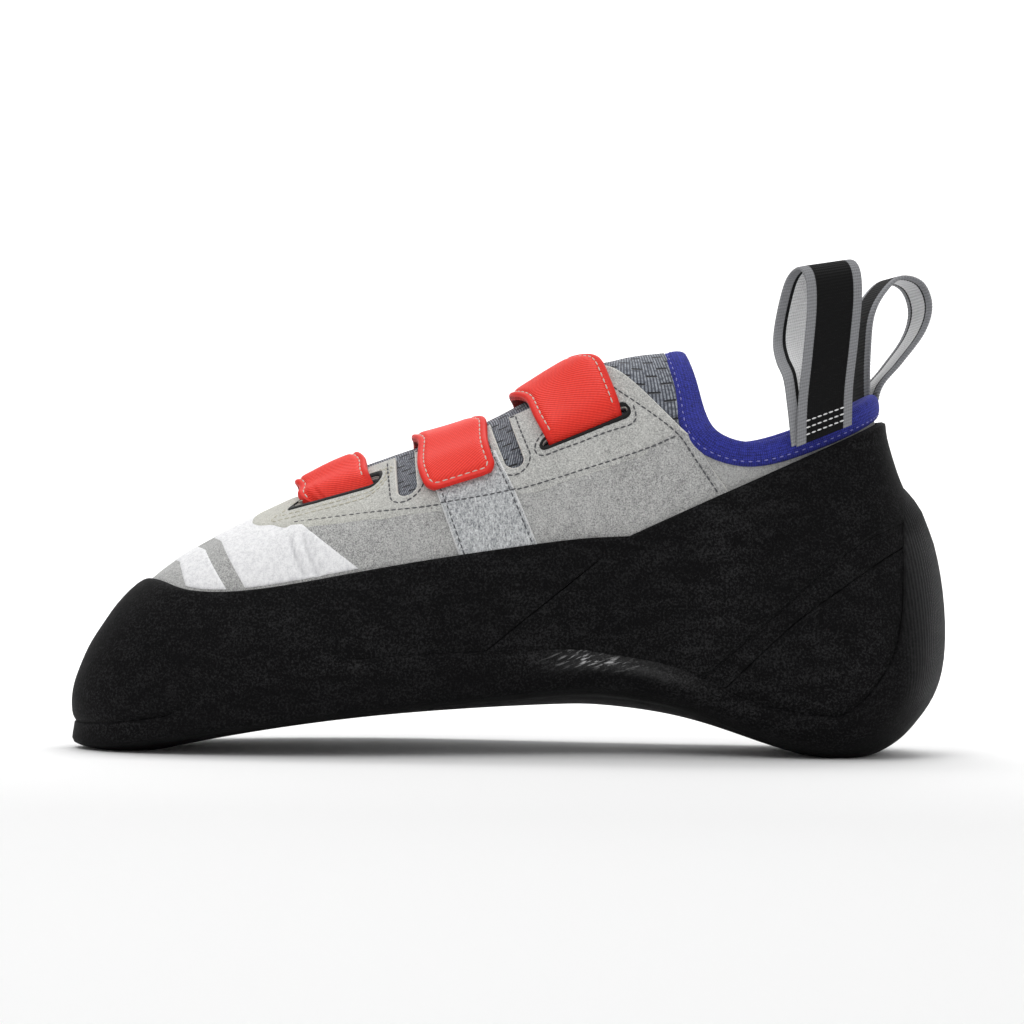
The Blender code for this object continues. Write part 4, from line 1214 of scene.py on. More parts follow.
# Tongue: a stretch mesh in grey-blue, finely ribbed across the foot with staggered open dashes, joined
# inside the throat on both sides and to the collar at its top.
TONGUE = 2.6
TONGUE_END = 7.8
TONGUE_START = 0.375
TONGUE_FLAT = 0.6
TONGUE_STEP = 1.0
TONGUE_SHARES = np.linspace(0.74, 0.98, 11)
RIB_PITCH = 0.75
DASH = (6.4, 3.1)
Ridge = namedtuple("Ridge", "along height")
RIDGES = [
    Ridge(25.0, 65.2),
    Ridge(25.6, 66.0),
    Ridge(27.3, 68.0),
    Ridge(30.6, 71.8),
    Ridge(36.4, 76.8),
    Ridge(45.5, 84.3),
    Ridge(55.3, 96.0),
    Ridge(61.9, 102.5),
    Ridge(68.6, 104.9),
]
RIDGE_POINTS = [(along_to_x(row.along), row.height * INSTEP_HEIGHT / 100) for row in RIDGES]


def ridge(station, distance):
    """Point on the tongue's ridge, or at a distance outside it."""
    step = 1e-3
    x, z = hermite_line(RIDGE_POINTS, np.asarray(station, float)).T
    ahead = unit(hermite_line(RIDGE_POINTS, station + step) - hermite_line(RIDGE_POINTS, station - step))
    y = (skin(-station, 1.0)[..., 1] + skin(station, 1.0)[..., 1]) / 2
    point = np.stack([x, y, z], -1)
    normal = np.stack([-ahead[..., 1], np.zeros_like(x), ahead[..., 0]], -1)
    return point + normal * distance


def over_throat(stations, edge, peak, count):
    """Rows of points over the throat, edge to edge, a distance off the skin and off the ridge."""
    left, right = layer(-stations, 1.0, edge), layer(stations, 1.0, edge)
    up_left, up_right = skin_frame(-stations, 1.0)[1], skin_frame(stations, 1.0)[1]
    middle = ridge(stations, peak)
    reach_left = np.linalg.norm(middle - left, axis=-1, keepdims=True)
    reach_right = np.linalg.norm(middle - right, axis=-1, keepdims=True)
    flat = (right - left) * TONGUE_FLAT
    share = np.linspace(0, 1, count)
    rows = []
    for i in range(len(stations)):
        rise = hermite(left[i], middle[i], up_left[i] * reach_left[i], flat[i], share)
        fall = hermite(middle[i], right[i], flat[i], -up_right[i] * reach_right[i], share)
        rows.append(np.concatenate([rise, fall[1:]]))
    return np.array(rows)


def spread_of(grid):
    """Place on the flat cloth of each point of a grid: along its rows' middles, and across from there."""
    middle = grid.shape[1] // 2
    along, across = run_along(grid[:, middle]), run_along(grid)
    across -= across[:, middle : middle + 1]
    return np.stack([np.broadcast_to(along[:, None], across.shape), across], -1)


def stretch_mesh():
    """Ribbed mesh on the flat cloth: ribs across it, and open dashes set like bricks between them, painted
    near black as painted shade.
    """
    made = Finish("grey_mesh", Roughness=0.85, Sheen_Weight=0.2)
    place = made.place(cloth=True)
    ribs = made.wave(place, RIB_PITCH, 0.4)
    split = made.node("ShaderNodeSeparateXYZ", {"Vector": place})
    long, short = (size * MM for size in DASH)
    row = made.maths("DIVIDE", split.outputs["Y"], short)
    lag = made.maths("MULTIPLY", made.maths("FLOOR", row), 0.5)
    column = made.maths("ADD", made.maths("DIVIDE", split.outputs["X"], long), lag)
    dash_x = made.maths("ABSOLUTE", made.maths("SUBTRACT", made.maths("FRACT", column), 0.5))
    dash_y = made.maths("ABSOLUTE", made.maths("SUBTRACT", made.maths("FRACT", row), 0.5))
    open_x = made.span(dash_x, 0.20, 0.24, 1.0, 0.0)
    open_y = made.span(dash_y, 0.07, 0.15, 1.0, 0.0)
    dash = made.maths("MULTIPLY", open_x, open_y)
    fleck = made.noise(place, 900, 3, 0.6)
    yarn = made.mix(made.span(fleck, 0.35, 0.65), tint(84, 89, 100), tint(168, 173, 182))
    shaded = made.mix(made.span(ribs, 0.1, 0.6), tint(54, 58, 68), yarn)
    height = made.maths("SUBTRACT", ribs, made.maths("MULTIPLY", dash, 1.6))
    # The dashes are not cut through: the shade seen inside the openings is painted near black.
    return made.surface(made.mix(dash, shaded, tint(20, 22, 28)), height, 0.3, 0.9)


MESH = stretch_mesh()
tongue_q = even_stations(TONGUE_START, TONGUE_END, TONGUE_STEP)
tongue_layers = []
for depth in (0, TONGUE):
    edge = -(WALL + GAP + depth)
    sides = side_rows(tongue_q, TONGUE_SHARES, edge)
    tongue_layers.append(side_to_side(sides, over_throat(tongue_q, edge, -depth, 14)))
tongue_points, tongue_faces = wall(*tongue_layers)
tongue_spread = np.concatenate([spread_of(face).reshape(-1, 2) for face in tongue_layers])
tongue = new_piece("mesh_tongue", tongue_points, tongue_faces, [MESH], spread=tongue_spread)
settle(tongue, "mesh", "tongue")

# Collar: a soft roll of blue knit over foam round the ankle opening and across the top of the tongue,
# sewn along its lower edge with one row of lilac thread that dimples it.
BINDING_HEIGHT = 7.6
BINDING_THICK = 4.6
BINDING_SEAT = -1.0
BINDING_START = 8.0
BINDING_STEP = 5.0
BINDING_COUNT = 320
BINDING_ROUND = 28
BINDING_PITCH = 2.4
BINDING_SQUARE = 2.5
BINDING_ROW = -0.62
BINDING_SOFT = 5.0
BLUR_REACH = 30
GROOVE_WIDTH = 0.2
GROOVE_DEPTH = 0.10
PUCKER_DEPTH = 0.07
ROLL_SWELL = 0.025
SWELL_LENGTH = 7.3
CORNER_FILL = 1.4
CORNER_REACH = 8.0


def closed_line(values, count):
    """Values at even places on the smooth closed curve through some rows."""
    return on_ring(values, ring_tangents(values), np.linspace(0, len(values), count, endpoint=False))


def soft_knit():
    """Fine blue knit: small columns of loops on the flat cloth."""
    made = Finish("blue_knit", Roughness=0.9, Sheen_Weight=0.2, Sheen_Roughness=0.4)
    made.shader.inputs["Sheen Tint"].default_value = tint(120, 125, 235)
    place = made.place(cloth=True)
    course = made.wave(place, 0.62, 1.2)
    wale = made.wave(place, 0.55, 1.2, direction="Y")
    knit = made.maths("MULTIPLY", course, wale)
    fleck = made.noise(made.place(), 1100, 3, 0.7)
    shade = made.span(made.maths("MULTIPLY_ADD", fleck, 1.2, made.maths("MULTIPLY", knit, 0.5)), 0.35, 1.15)
    return made.surface(made.mix(shade, tint(12, 14, 70), tint(52, 60, 176)), knit, 0.22, 0.8)


collar_q = even_stations(BINDING_START, 2 * LAST - BINDING_START, BINDING_STEP)
collar_normal, collar_up = skin_frame(collar_q, 1.0)
collar_seat = skin(collar_q, 1.0) - collar_normal * WALL / 2
top_rows = np.array([TONGUE_END - 0.05, TONGUE_END])
top_depth = -(WALL + GAP + TONGUE / 2)
top_before, top_edge = over_throat(top_rows, top_depth, -TONGUE / 2, 5)[:, 1:-1]
top_up = unit(top_edge - top_before)
top_normal = unit(np.cross(top_up, np.gradient(top_edge, axis=0)))
rise = BINDING_SEAT + BINDING_HEIGHT / 2
ring_knots = np.concatenate([collar_seat + collar_up * rise, top_edge + top_up * rise])
ring_knots = np.concatenate([ring_knots, np.concatenate([collar_normal, top_normal])], 1)
ring_fine = closed_line(ring_knots, 8 * BINDING_COUNT)
ring_fine = np.concatenate([ring_fine, ring_fine[:1]])
ring_run = run_along(ring_fine[:, :3])
ring_even = np.linspace(0, ring_run[-1], BINDING_COUNT, endpoint=False)
blur = bell(np.arange(-BLUR_REACH, BLUR_REACH + 1) * ring_even[1], BINDING_SOFT)
blur /= blur.sum()
ring_soft = []
for values in at_run(ring_even, ring_run, ring_fine).T:
    looped = np.concatenate([values[-BLUR_REACH:], values, values[:BLUR_REACH]])
    ring_soft.append(np.convolve(looped, blur, "valid"))
ring_centre, ring_out = np.split(np.array(ring_soft).T, 2, axis=1)
ring_ahead = unit(np.roll(ring_centre, -1, 0) - np.roll(ring_centre, 1, 0))
ring_out = unit(ring_out - ring_ahead * (ring_out * ring_ahead).sum(1, keepdims=True))
ring_up = np.cross(ring_ahead, ring_out)
ring_tall = np.full(BINDING_COUNT, BINDING_HEIGHT)
for after in (0, len(collar_q)):
    corner = (ring_knots[after - 1] + ring_knots[after]) / 2
    away = np.linalg.norm(ring_centre - corner[:3], axis=1)
    ring_tall += CORNER_FILL * bell(away, CORNER_REACH)
ring_centre -= ring_up * ((ring_tall - BINDING_HEIGHT) / 2)[:, None]
ring_steps = np.linalg.norm(np.roll(ring_centre, -1, 0) - ring_centre, axis=1)
ring_along = np.concatenate([[0], np.cumsum(ring_steps)[:-1]])
turns = np.linspace(0, 2 * math.pi, BINDING_ROUND, endpoint=False)
round_tall, round_wide = (
    np.sign(wave) * np.abs(wave) ** (2 / BINDING_SQUARE) for wave in (np.cos(turns), np.sin(turns))
)
pucker = 0.5 - 0.5 * np.cos(2 * math.pi * ring_along / BINDING_PITCH)
groove = bell(round_tall - BINDING_ROW, GROOVE_WIDTH)
swell = 1 - groove[None] * (GROOVE_DEPTH + PUCKER_DEPTH * pucker[:, None])
swell += ROLL_SWELL * np.sin(ring_along / SWELL_LENGTH)[:, None] * (1 - groove[None])
collar_points = (
    ring_centre[:, None]
    + ring_up[:, None] * (round_tall[None] * ring_tall[:, None] / 2)[..., None]
    + ring_out[:, None] * (round_wide[None] * swell * BINDING_THICK / 2)[..., None]
)
collar_faces = grid_faces(BINDING_COUNT, BINDING_ROUND, True, tube=True)
round_length = np.abs(turns - math.pi) * (BINDING_HEIGHT + BINDING_THICK) / 4
collar_spread = np.stack(np.broadcast_arrays(ring_along[:, None], round_length[None]), -1).reshape(-1, 2)
KNIT = soft_knit()
collar = new_piece("collar_roll", collar_points.reshape(-1, 3), collar_faces, [KNIT], spread=collar_spread)
settle(collar, "knit", "collar_binding")
row_wide = (1 - abs(BINDING_ROW) ** BINDING_SQUARE) ** (1 / BINDING_SQUARE) * 0.9 * BINDING_THICK / 2
collar_row = ring_centre + ring_up * (BINDING_ROW * ring_tall / 2)[:, None] + ring_out * row_wide
LILAC_THREAD = thread("lilac_thread", tint(150, 150, 214), tint(92, 92, 170))
stitches("collar_stitches", [collar_row], LILAC_THREAD, "knit", pitch=BINDING_PITCH, length=1.2, radius=0.22)

# Toe rand: a sheet of thin black rubber stretched round the toe and along both sides as far as the
# slanting seams, glued on and buffed dull. Its top edge is cut clean and a little rounded.
RAND = 1.8
RAND_SEAT = 0.45
RAND_TUCK = 2.0
RAND_SHARE = 0.232
RAND_STEP = 1.5
RAND_ROUND = 0.8
RAND_TALL = 36.0
RAND_SWELL = 0.14
RAND_WAVES = ((0.11, 0.13, 0.23), (0.07, -0.16, 0.19))
TUCK_DEPTH = 0.8
TUCK_WIDTH = 1.7
TIP_ROUND = 7.0
TIP_STATIONS = (0.8, 2.2)
WRAP_TOP = 81.0
RAND_AHEAD = 0.012
TOE_RAND_SQUARE = 4.7
SEAM_LINE = ((35.0, 66.2), (-3.0, 36.0))
SEAM_GAP = 0.004
SEAM_START = 6.3
SEAM_STEP = 30.0
RUBBER_ROUGH = 0.66
RAND_BUFF = 0.18
EDGE_PALE = 0.5
EDGE_FADE = 0.7
RAND_CUT = 0.5
TIP_CUT = 0.4
# Places of the rows in millimetres down from the cut top edge of a rand RAND_TALL high, then shares of
# the rest
RAND_EDGE_ROWS = np.array([0, 0.12, 0.3, 0.55, 0.9, 1.6])
RAND_BODY_ROWS = np.linspace(0, 1, 26)[1:]
# Seam up the back of the heel: station, and share of the way up from the lip to WRAP_TOP
WRAP_SEAM = [
    (9.2, 0.0),
    (9.45, 0.0),
    (9.66, 0.025),
    (9.89, 0.105),
    (10.13, 0.27),
    (10.24, 0.46),
    (10.34, 0.72),
    (10.51, 0.93),
    (11.0, 1.0),
]
wrap_line = hermite_line(WRAP_SEAM, np.linspace(0, len(WRAP_SEAM) - 1, 200))


def heel_station(station):
    """How far a station is from the toe tip, on either side."""
    return LAST - np.abs(np.abs(station) - LAST)


def lip_height(station, ahead=0.0):
    """Top of the outsole's lip, which climbs the back of the heel."""
    low = RUBBER_LINES.at(np.asarray(station, float))[..., 0] * INSTEP_HEIGHT / 100
    climb = np.interp(heel_station(station) + ahead, wrap_line[:, 0], wrap_line[:, 1])
    return part_way(low, WRAP_TOP, climb)


def rand_foot_share(stations):
    """Share of the wall where the rands start, tucked under the outsole's lip."""
    share = share_where(stations, lambda p, s: p[:, 2] - lip_height(s, RAND_AHEAD) + RAND_TUCK)
    return np.maximum(share, RAND_SHARE)


def seam_station(side, share, low_share, high_share):
    """Station of the seam between the rands at a share of the way up: straight from the side."""
    (x_0, z_0), (x_1, z_1) = SEAM_LINE
    station = np.array([side * SEAM_START])
    for _ in range(12):
        low, high = low_share(station), high_share(station)
        point = skin(station, part_way(low, high, share))[0]
        wanted = x_0 + (x_1 - x_0) * (point[2] - z_0) / (z_1 - z_0)
        station += side * np.clip((wanted - point[0]) / SEAM_STEP, -1, 1)
    return station[0]


def rubber(name, shiny):
    """Black rubber, buffed dull: fine dust in its grain, pale where it was ground, and where a painted
    highlight is marked.

    The buff mark on the piece says where it was ground, and where it is painted paler as a painted
    highlight; the gloss mark says where it was left shiny.
    """
    made = Finish(name, Specular_IOR_Level=0.08, Coat_Roughness=0.2)
    place = made.place()
    dust = made.noise(place, 1500, 3, 0.75)
    scuff = made.noise(made.place(stretch=(0.35, 1, 1)), 240, 4, 0.65)
    cloud = made.noise(place, 28, 3)
    buff, gloss = made.mark("buff"), made.mark("gloss")
    made.give("Coat Weight", made.maths("MULTIPLY", gloss, shiny))
    fleck = made.span(made.maths("MULTIPLY_ADD", scuff, 0.4, dust), 0.66, 0.92)
    # The buff mark pales the rubber, for grinding and for painted highlights alike.
    ground = made.maths("MULTIPLY", fleck, made.maths("ADD", 0.2, made.maths("MULTIPLY", buff, 0.45)))
    both = made.maths("MULTIPLY", ground, made.span(cloud, 0.3, 0.7, 0.6, 1.2))
    made.give("Base Color", made.mix(both, tint(5, 5, 6), tint(78, 78, 79)))
    matt = made.span(scuff, 0.3, 0.7, RUBBER_ROUGH - 0.06, RUBBER_ROUGH + 0.1)
    made.give("Roughness", made.maths("SUBTRACT", matt, made.maths("MULTIPLY", gloss, 0.36)))
    height = made.maths("MULTIPLY_ADD", scuff, 0.5, made.maths("MULTIPLY", dust, 0.8))
    made.give("Normal", made.bump(height, 0.12, 0.7))
    return made


RAND_RUBBER = rubber("rand_rubber", 0.0)
plain_toe = even_stations(-TOE_RAND_SQUARE, TOE_RAND_SQUARE, RAND_STEP)
toe_edge_rows = 1 - RAND_EDGE_ROWS / RAND_TALL
toe_rows = np.concatenate([toe_edge_rows, toe_edge_rows[-1] * (1 - RAND_BODY_ROWS)])
toe_columns = []
for row in toe_rows:
    ends = [seam_station(side, row, rand_foot_share, toe_rand_share) for side in (-1, 1)]
    fan = np.arange(30, 0, -1) / 30
    before = part_way(plain_toe[0], ends[0] + SEAM_GAP, fan)
    after = part_way(plain_toe[-1], ends[1] - SEAM_GAP, fan[::-1])
    toe_columns.append(np.concatenate([before, plain_toe, after]))
toe_q = np.stack(toe_columns, 1)
toe_v = np.empty_like(toe_q)
for j, row in enumerate(toe_rows):
    low, high = rand_foot_share(toe_q[:, j]), toe_rand_share(toe_q[:, j])
    toe_v[:, j] = part_way(low, high, row)
toe_points = skin(toe_q, toe_v)
drop = run_along(toe_points)
at_tip = 1 - smooth_step(np.abs(toe_q), *TIP_STATIONS)
rounding = rounded(drop, RAND_ROUND + TIP_ROUND * at_tip)
edge_share = RAND_CUT - TIP_CUT * at_tip
ripple = ripples(toe_points, RAND_SWELL, RAND_WAVES) * np.clip(drop / 4, 0, 1)
tucked = TUCK_DEPTH * bell(drop[:, -1:] - drop, TUCK_WIDTH)
toe_top = RAND_SEAT + RAND * (edge_share + (1 - edge_share) * rounding) + ripple - tucked
rand_points, rand_faces = wall(layer(toe_q, toe_v, toe_top), layer(toe_q, toe_v, -0.1))
# The rubber is buffed evenly, and paler towards the cut top edge.
buffed_and_pale = np.clip(RAND_BUFF + EDGE_PALE * np.exp(-drop / EDGE_FADE), 0, 1).ravel()
rand_marks = {"buff": np.tile(buffed_and_pale, 2), "gloss": np.zeros(2 * buffed_and_pale.size)}
toe_rand = new_piece("rubber_toe_rand", rand_points, rand_faces, [RAND_RUBBER], marks=rand_marks)
settle(toe_rand, "rubber", "toe_rand")

# Heel rand: rubber in layers that pull the heel on. A thin sheet lies on the heel. On it are a cup low on
# each side, a narrow band above the cup, and the sling, which laps the band and runs round to the back.
HEEL_LINE = ((35.0, 66.2), (113.5, 102.4))
HEEL_LOW = 1.05
HEEL_CUP = 1.5
HEEL_BAND = 1.7
HEEL_SLING = 2.5
HEEL_STEP = 1.5
HEEL_SWELL = 0.16
HEEL_WAVES = ((0.12, 0.10, 0.17), (0.05, -0.14, 0.21))
HEEL_BUFF = 0.22
# Lower edges of sling and band, as lengths and heights seen from the inner side, bottom to top
SLING_LINE = [
    (54.0, 21.0), (66.7, 32.2), (81.2, 45.0), (93.6, 56.7),
    (104.0, 64.5), (112.0, 68.6), (120.0, 71.6),
]
BAND_LINE = [
    (57.0, 14.7), (67.6, 24.7), (85.1, 41.2), (100.5, 52.8),
    (110.0, 59.5), (116.0, 62.9), (122.0, 66.0),
]
# How far the band's upper edge runs on under the sling, in length and height
BAND_LAP = (-1.9, 2.3)
HEEL_CREASES = [
    Crease(62.0, 58.0, 92.0, 72.0, 0.5, 7.0),
    Crease(30.0, 50.0, 52.0, 62.0, 0.35, 6.0),
    Crease(78.0, 62.0, 100.0, 80.0, 0.35, 6.0),
    Crease(88.0, 24.0, 104.0, 36.0, 0.4, 6.0),
]


def heel_line(x):
    (x_0, z_0), (x_1, z_1) = HEEL_LINE
    return z_0 + (x - x_0) * (z_1 - z_0) / (x_1 - x_0)


def heel_rand_share(stations):
    return share_where(stations, lambda p, s: p[:, 2] - heel_line(p[:, 0]))


def round_heel(side, q):
    """Station counted on past the heel for the inner side."""
    return q if side > 0 else 2 * LAST - q


heel_seams = {}
for side in (-1, 1):
    rows = np.linspace(0, 1, 16)
    seams = [abs(seam_station(side, row, rand_foot_share, heel_rand_share)) for row in rows]
    stations = np.array(seams) + SEAM_GAP
    low, high = rand_foot_share(side * stations), heel_rand_share(side * stations)
    heel_seams[side] = [(round_heel(side, q), v) for q, v in zip(stations, part_way(low, high, rows))]


def foot_line(start, end):
    """The rand's lower edge between two stations counted past the heel, without its ends."""
    q = even_stations(start, end, HEEL_STEP) if end > start else even_stations(end, start, HEEL_STEP)[::-1]
    return list(zip(q, rand_foot_share(q)))[1:-1]


def slant_line(places, side):
    """One of the heel's slanting edges on a side, cut off where it meets the rand's lower edge."""
    line = side_line(places, 160)
    q = np.array([round_heel(side, station) for station in line[:, 0]])
    keep = line[:, 1] > rand_foot_share(q) + 0.002
    return list(zip(q[keep], line[keep, 1]))


top_q = even_stations(heel_seams[1][-1][0], heel_seams[-1][-1][0], HEEL_STEP)
heel_top = list(zip(top_q, heel_rand_share(top_q)))
lapped_line = [(x + BAND_LAP[0], z + BAND_LAP[1]) for x, z in SLING_LINE]
sling_edges, band_edges, lapped_edges = (
    {side: slant_line(line, side) for side in (-1, 1)} for line in (SLING_LINE, BAND_LINE, lapped_line)
)
heel_sides = heel_seams[1] + heel_top[1:-1] + heel_seams[-1][::-1]
heel_sheet_outline = heel_sides + foot_line(heel_seams[-1][0][0], heel_seams[1][0][0])
sling_outline = heel_sides + foot_line(heel_seams[-1][0][0], sling_edges[-1][0][0]) + sling_edges[-1]
sling_outline += foot_line(sling_edges[-1][-1][0], sling_edges[1][-1][0]) + sling_edges[1][::-1]
sling_outline += foot_line(sling_edges[1][0][0], heel_seams[1][0][0])


def heel_shape(points, rim):
    """The heel's creases and swell, flat along the edges."""
    swell = trough(points, HEEL_CREASES) + ripples(points, HEEL_SWELL, HEEL_WAVES)
    return swell * smooth_step(rim, 0.5, 5.0)


def rubber_panel(name, outline, low, high, step, *nodes):
    """Panel of rand rubber on the heel, buffed evenly."""
    made = panel(name, outline, low, high, [RAND_RUBBER], step=step, edge=0.9, raw=0, shape=heel_shape)
    count = len(made.data.vertices)
    mark_points(made.data, "buff", np.full(count, HEEL_BUFF))
    mark_points(made.data, "gloss", np.zeros(count))
    settle(made, "rubber", *nodes)


rubber_panel("rubber_heel_sheet", heel_sheet_outline, -0.1, HEEL_LOW, 2.0, "heel_rand")
rubber_panel("rubber_heel_sling", sling_outline, HEEL_LOW - 0.4, HEEL_SLING, 1.5)
for side, title in ((-1, "inner"), (1, "outer")):
    band, lapped = band_edges[side], lapped_edges[side]
    band_outline = lapped + foot_line(lapped[-1][0], band[-1][0])
    band_outline += band[::-1] + foot_line(band[0][0], lapped[0][0])
    rubber_panel(f"rubber_heel_band_{title}", band_outline, HEEL_LOW - 0.4, HEEL_BAND, 1.0)
    cup_outline = band + foot_line(band[-1][0], band[0][0])
    rubber_panel(f"rubber_heel_cup_{title}", cup_outline, HEEL_LOW - 0.4, HEEL_CUP, 1.2)

# Outsole: one cupped piece of thick black rubber, ground flush with the rand round the toes, rolled up
# as a lip along the arch, where it is stretched and shiny, and drawn up the heel's back as a ribbed tab.
SOLE = 4.2
SOLE_SEAT = 0.6
SOLE_SINK = 0.55
SOLE_BOW = 1.2
BOTTOM_COUNT = 15
LIP_SHARE = 0.245
SOFT_STATIONS = (5.5, 8.5)
SOFT_SHARE = 0.8
LIP_TURN = (0.2, 0.9)
SOLE_STEP = 1.5
FINE_STATIONS = (9.9, 10.6)
FINE_COUNT = 36
LIP_ROUND = 1.3
UNDER_SHARES = np.linspace(0.22, 0, 14)
LIP_ROWS = np.concatenate([np.array([0, 0.012, 0.03, 0.06, 0.1]), np.linspace(0.16, 1, 18)[:-1]])
ROLL_STATIONS = (4.6, 5.8)
GLOSS_STATIONS = (5.6, 6.5)
GLOSS_END = (7.2, 8.4)
GLOSS_SHARES = (0.2, 0.26)
TOE_BUFF_END = (4.2, 5.6)
TOE_BUFF_SHARES = (0.17, 0.21)
TOE_BUFF_REACH = 3
# Painted highlight along the top of the outsole's lip over the arch: the stations where it starts, and how
# far down and how wide it lies.
ARCH_GLINT_START = (4.8, 5.6)
ARCH_GLINT_FALL = 2
ARCH_GLINT_HALF = 2.5
BUFF_AND_GLINT = 0.3
BUFF_LEAST = 0.02
BUFF_UNDER = 0.15
HEEL_STATIONS = (8.8, 9.8)
FLUSH_STATIONS = (3.6, 5.2)
FLUSH = 1.0
FLUSH_REACH = 5
LIP_CUT = 0.42
FLUSH_CUT = 0.4
LIP_ROLL = 0.85
LIP_REACH = 7.5
TAB_STATIONS = (10.1, 10.7)
TAB_SHARES = (0.26, 0.4)
TAB_FADE = 0.6
TAB_ROLL = 0.55
TAB_REACH = 10.0
TAB_RIB = 1.1
TAB_STEP = (64.0, 69.5)
TAB_THIN = 0.5
# Painted highlight streaks on the lip: their middle along the shoe, half widths along it and down the lip,
# and depth under its top.
GLINT_X = 22.0
GLINT_HALF = (12.0, 1.8)
GLINT_FALL = 2.6
SOLE_SHINE = 0.6


def lip_share(stations):
    """Share of the wall at the top of the outsole's lip, never under the feather edge."""
    share = share_where(stations, lambda p, s: p[:, 2] - lip_height(s))
    return np.maximum(share, LIP_SHARE)


SoleSide = namedtuple("SoleSide", "station share ground normal far rim heel")


def sole_side(side, stations):
    """Grid on one side of the skin, from the lip's top edge to the margin under the foot.

    far is the station counted from the toe tip, rim the distance from the lip's top edge, and heel
    how much a point belongs to the heel.
    """
    top = lip_share(side * stations)
    lip = part_way(UNDER_SHARES[0], top[:, None], 1 - LIP_ROWS)
    share = np.concatenate([lip, np.tile(UNDER_SHARES, (len(stations), 1))], 1)
    station = np.broadcast_to(side * stations[:, None], share.shape)
    ground, normal = skin(station, share), skin_frame(station, share)[0]
    far = heel_station(station)
    rim = distance_to(ground.reshape(-1, 3), [skin(side * stations, top)]).reshape(far.shape)
    return SoleSide(station, share, ground, normal, far, rim, smooth_step(far, *HEEL_STATIONS))


def tab_share(at):
    """How much of the ribbed tab shows at each point: it fades over the step near its top."""
    tab = smooth_step(at.far, *TAB_STATIONS) * smooth_step(at.share, *TAB_SHARES)
    return tab * (1 - TAB_FADE * smooth_step(at.ground[..., 2], *TAB_STEP))


def sole_wear(at):
    """Marks for the material: how far each point is buffed or painted paler as a highlight, shiny, ribbed,
    and painted with pale highlight streaks.
    """
    gloss = smooth_step(at.far, *GLOSS_STATIONS) * (1 - smooth_step(at.far, *GLOSS_END))
    gloss *= smooth_step(at.share, *GLOSS_SHARES)
    buff = BUFF_AND_GLINT * (1 - smooth_step(at.far, *TOE_BUFF_END))
    buff *= smooth_step(at.share, *TOE_BUFF_SHARES)
    buff *= bell(at.rim, TOE_BUFF_REACH)
    # Painted highlight: over the arch the band along the lip's top is painted paler.
    arch_glint = BUFF_AND_GLINT * smooth_step(at.far, *ARCH_GLINT_START) * (1 - at.heel)
    buff += arch_glint * bell(at.rim - ARCH_GLINT_FALL, ARCH_GLINT_HALF)
    # Painted highlights: pale streaks on the shiny lip a little under its top, standing for glints of light.
    glint_streak = bell(at.ground[..., 0] - GLINT_X, GLINT_HALF[0])
    glint_streak *= bell(at.rim - GLINT_FALL, GLINT_HALF[1])
    return np.stack([buff + BUFF_LEAST, gloss, tab_share(at), glint_streak * gloss], -1)


def sole_height(at):
    """Height of the sole's outer face over the skin."""
    down = np.clip(-at.normal[..., 2], 0, 1)
    lip = RUBBER_LINES.at(at.station[:, 0])[:, 1][:, None]
    fore = 1 - smooth_step(at.far, *FLUSH_STATIONS)
    thick = lip - FLUSH * fore * np.exp(-at.rim / FLUSH_REACH)
    thick += (SOLE - lip) * smooth_step(down, *LIP_TURN)
    level = np.maximum(down, np.sqrt(np.clip(1 - down**2, 0.5, 1)))
    crisp = 1 - SOFT_SHARE * smooth_step(at.far, *SOFT_STATIONS)
    square = 1 + crisp * (1 / level - 1) * (at.normal[..., 2] < 0)
    lip_roll = LIP_ROLL * (1 - rounded(at.rim, LIP_REACH))
    tab_roll = TAB_ROLL * (1 - np.sin(np.pi / 2 * np.clip(at.rim / TAB_REACH, 0, 1)))
    roll = lip_roll * (1 - at.heel) + tab_roll * at.heel
    rolled = 1 - smooth_step(at.far, *ROLL_STATIONS) * roll
    thin = TAB_THIN * tab_share(at) * smooth_step(at.ground[..., 2], *TAB_STEP)
    cut = LIP_CUT + FLUSH_CUT * np.maximum(fore, at.heel)
    edge = cut + (1 - cut) * rounded(at.rim, LIP_ROUND)
    return SOLE_SEAT + (thick * square * rolled - thin) * edge


def sole_rubber():
    """Sole rubber: as the rand's, with pale streaks on the lip as painted highlights, and painted sheen on
    the heel's ribbed tab.
    """
    made = rubber("sole_rubber", SOLE_SHINE)
    cloth = made.place(cloth=True)
    slanted = made.place(turn=(0, 0, math.radians(-17)), cloth=True)
    stretched = made.node("ShaderNodeMapping", {"Vector": slanted, "Scale": (0.14, 1, 1)})
    lines = made.noise(stretched.outputs["Vector"], 1500, 3, 0.6)
    steps = made.span(made.wave(cloth, TAB_RIB * 0.85, 1.5, direction="Y"), 0, 1, 0.35, 1)
    ribs = made.maths("MULTIPLY", made.wave(cloth, TAB_RIB, 1.5), steps)
    # Painted highlights: pale streaks on the lip where the marks say.
    painted_glint = made.maths("MULTIPLY", made.span(lines, 0.53, 0.66), made.mark("glint_streak"))
    # Painted sheen: the heel's tab is painted paler, most on its rib crests.
    rib_sheen = made.maths("MULTIPLY", made.span(ribs, 0, 0.8, 0.22, 0.7), made.mark("ribs"))
    black = made.shader.inputs["Base Color"].links[0].from_socket
    black = made.mix(rib_sheen, black, tint(92, 92, 93))
    made.give("Base Color", made.mix(painted_glint, black, tint(206, 206, 207)))
    height = made.maths("MULTIPLY", lines, made.mark("gloss"))
    height = made.maths("MULTIPLY_ADD", ribs, made.mark("ribs"), height)
    old = made.shader.inputs["Normal"].links[0].from_socket
    made.give("Normal", made.bump(height, 0.5, 0.9, over=old))
    return made


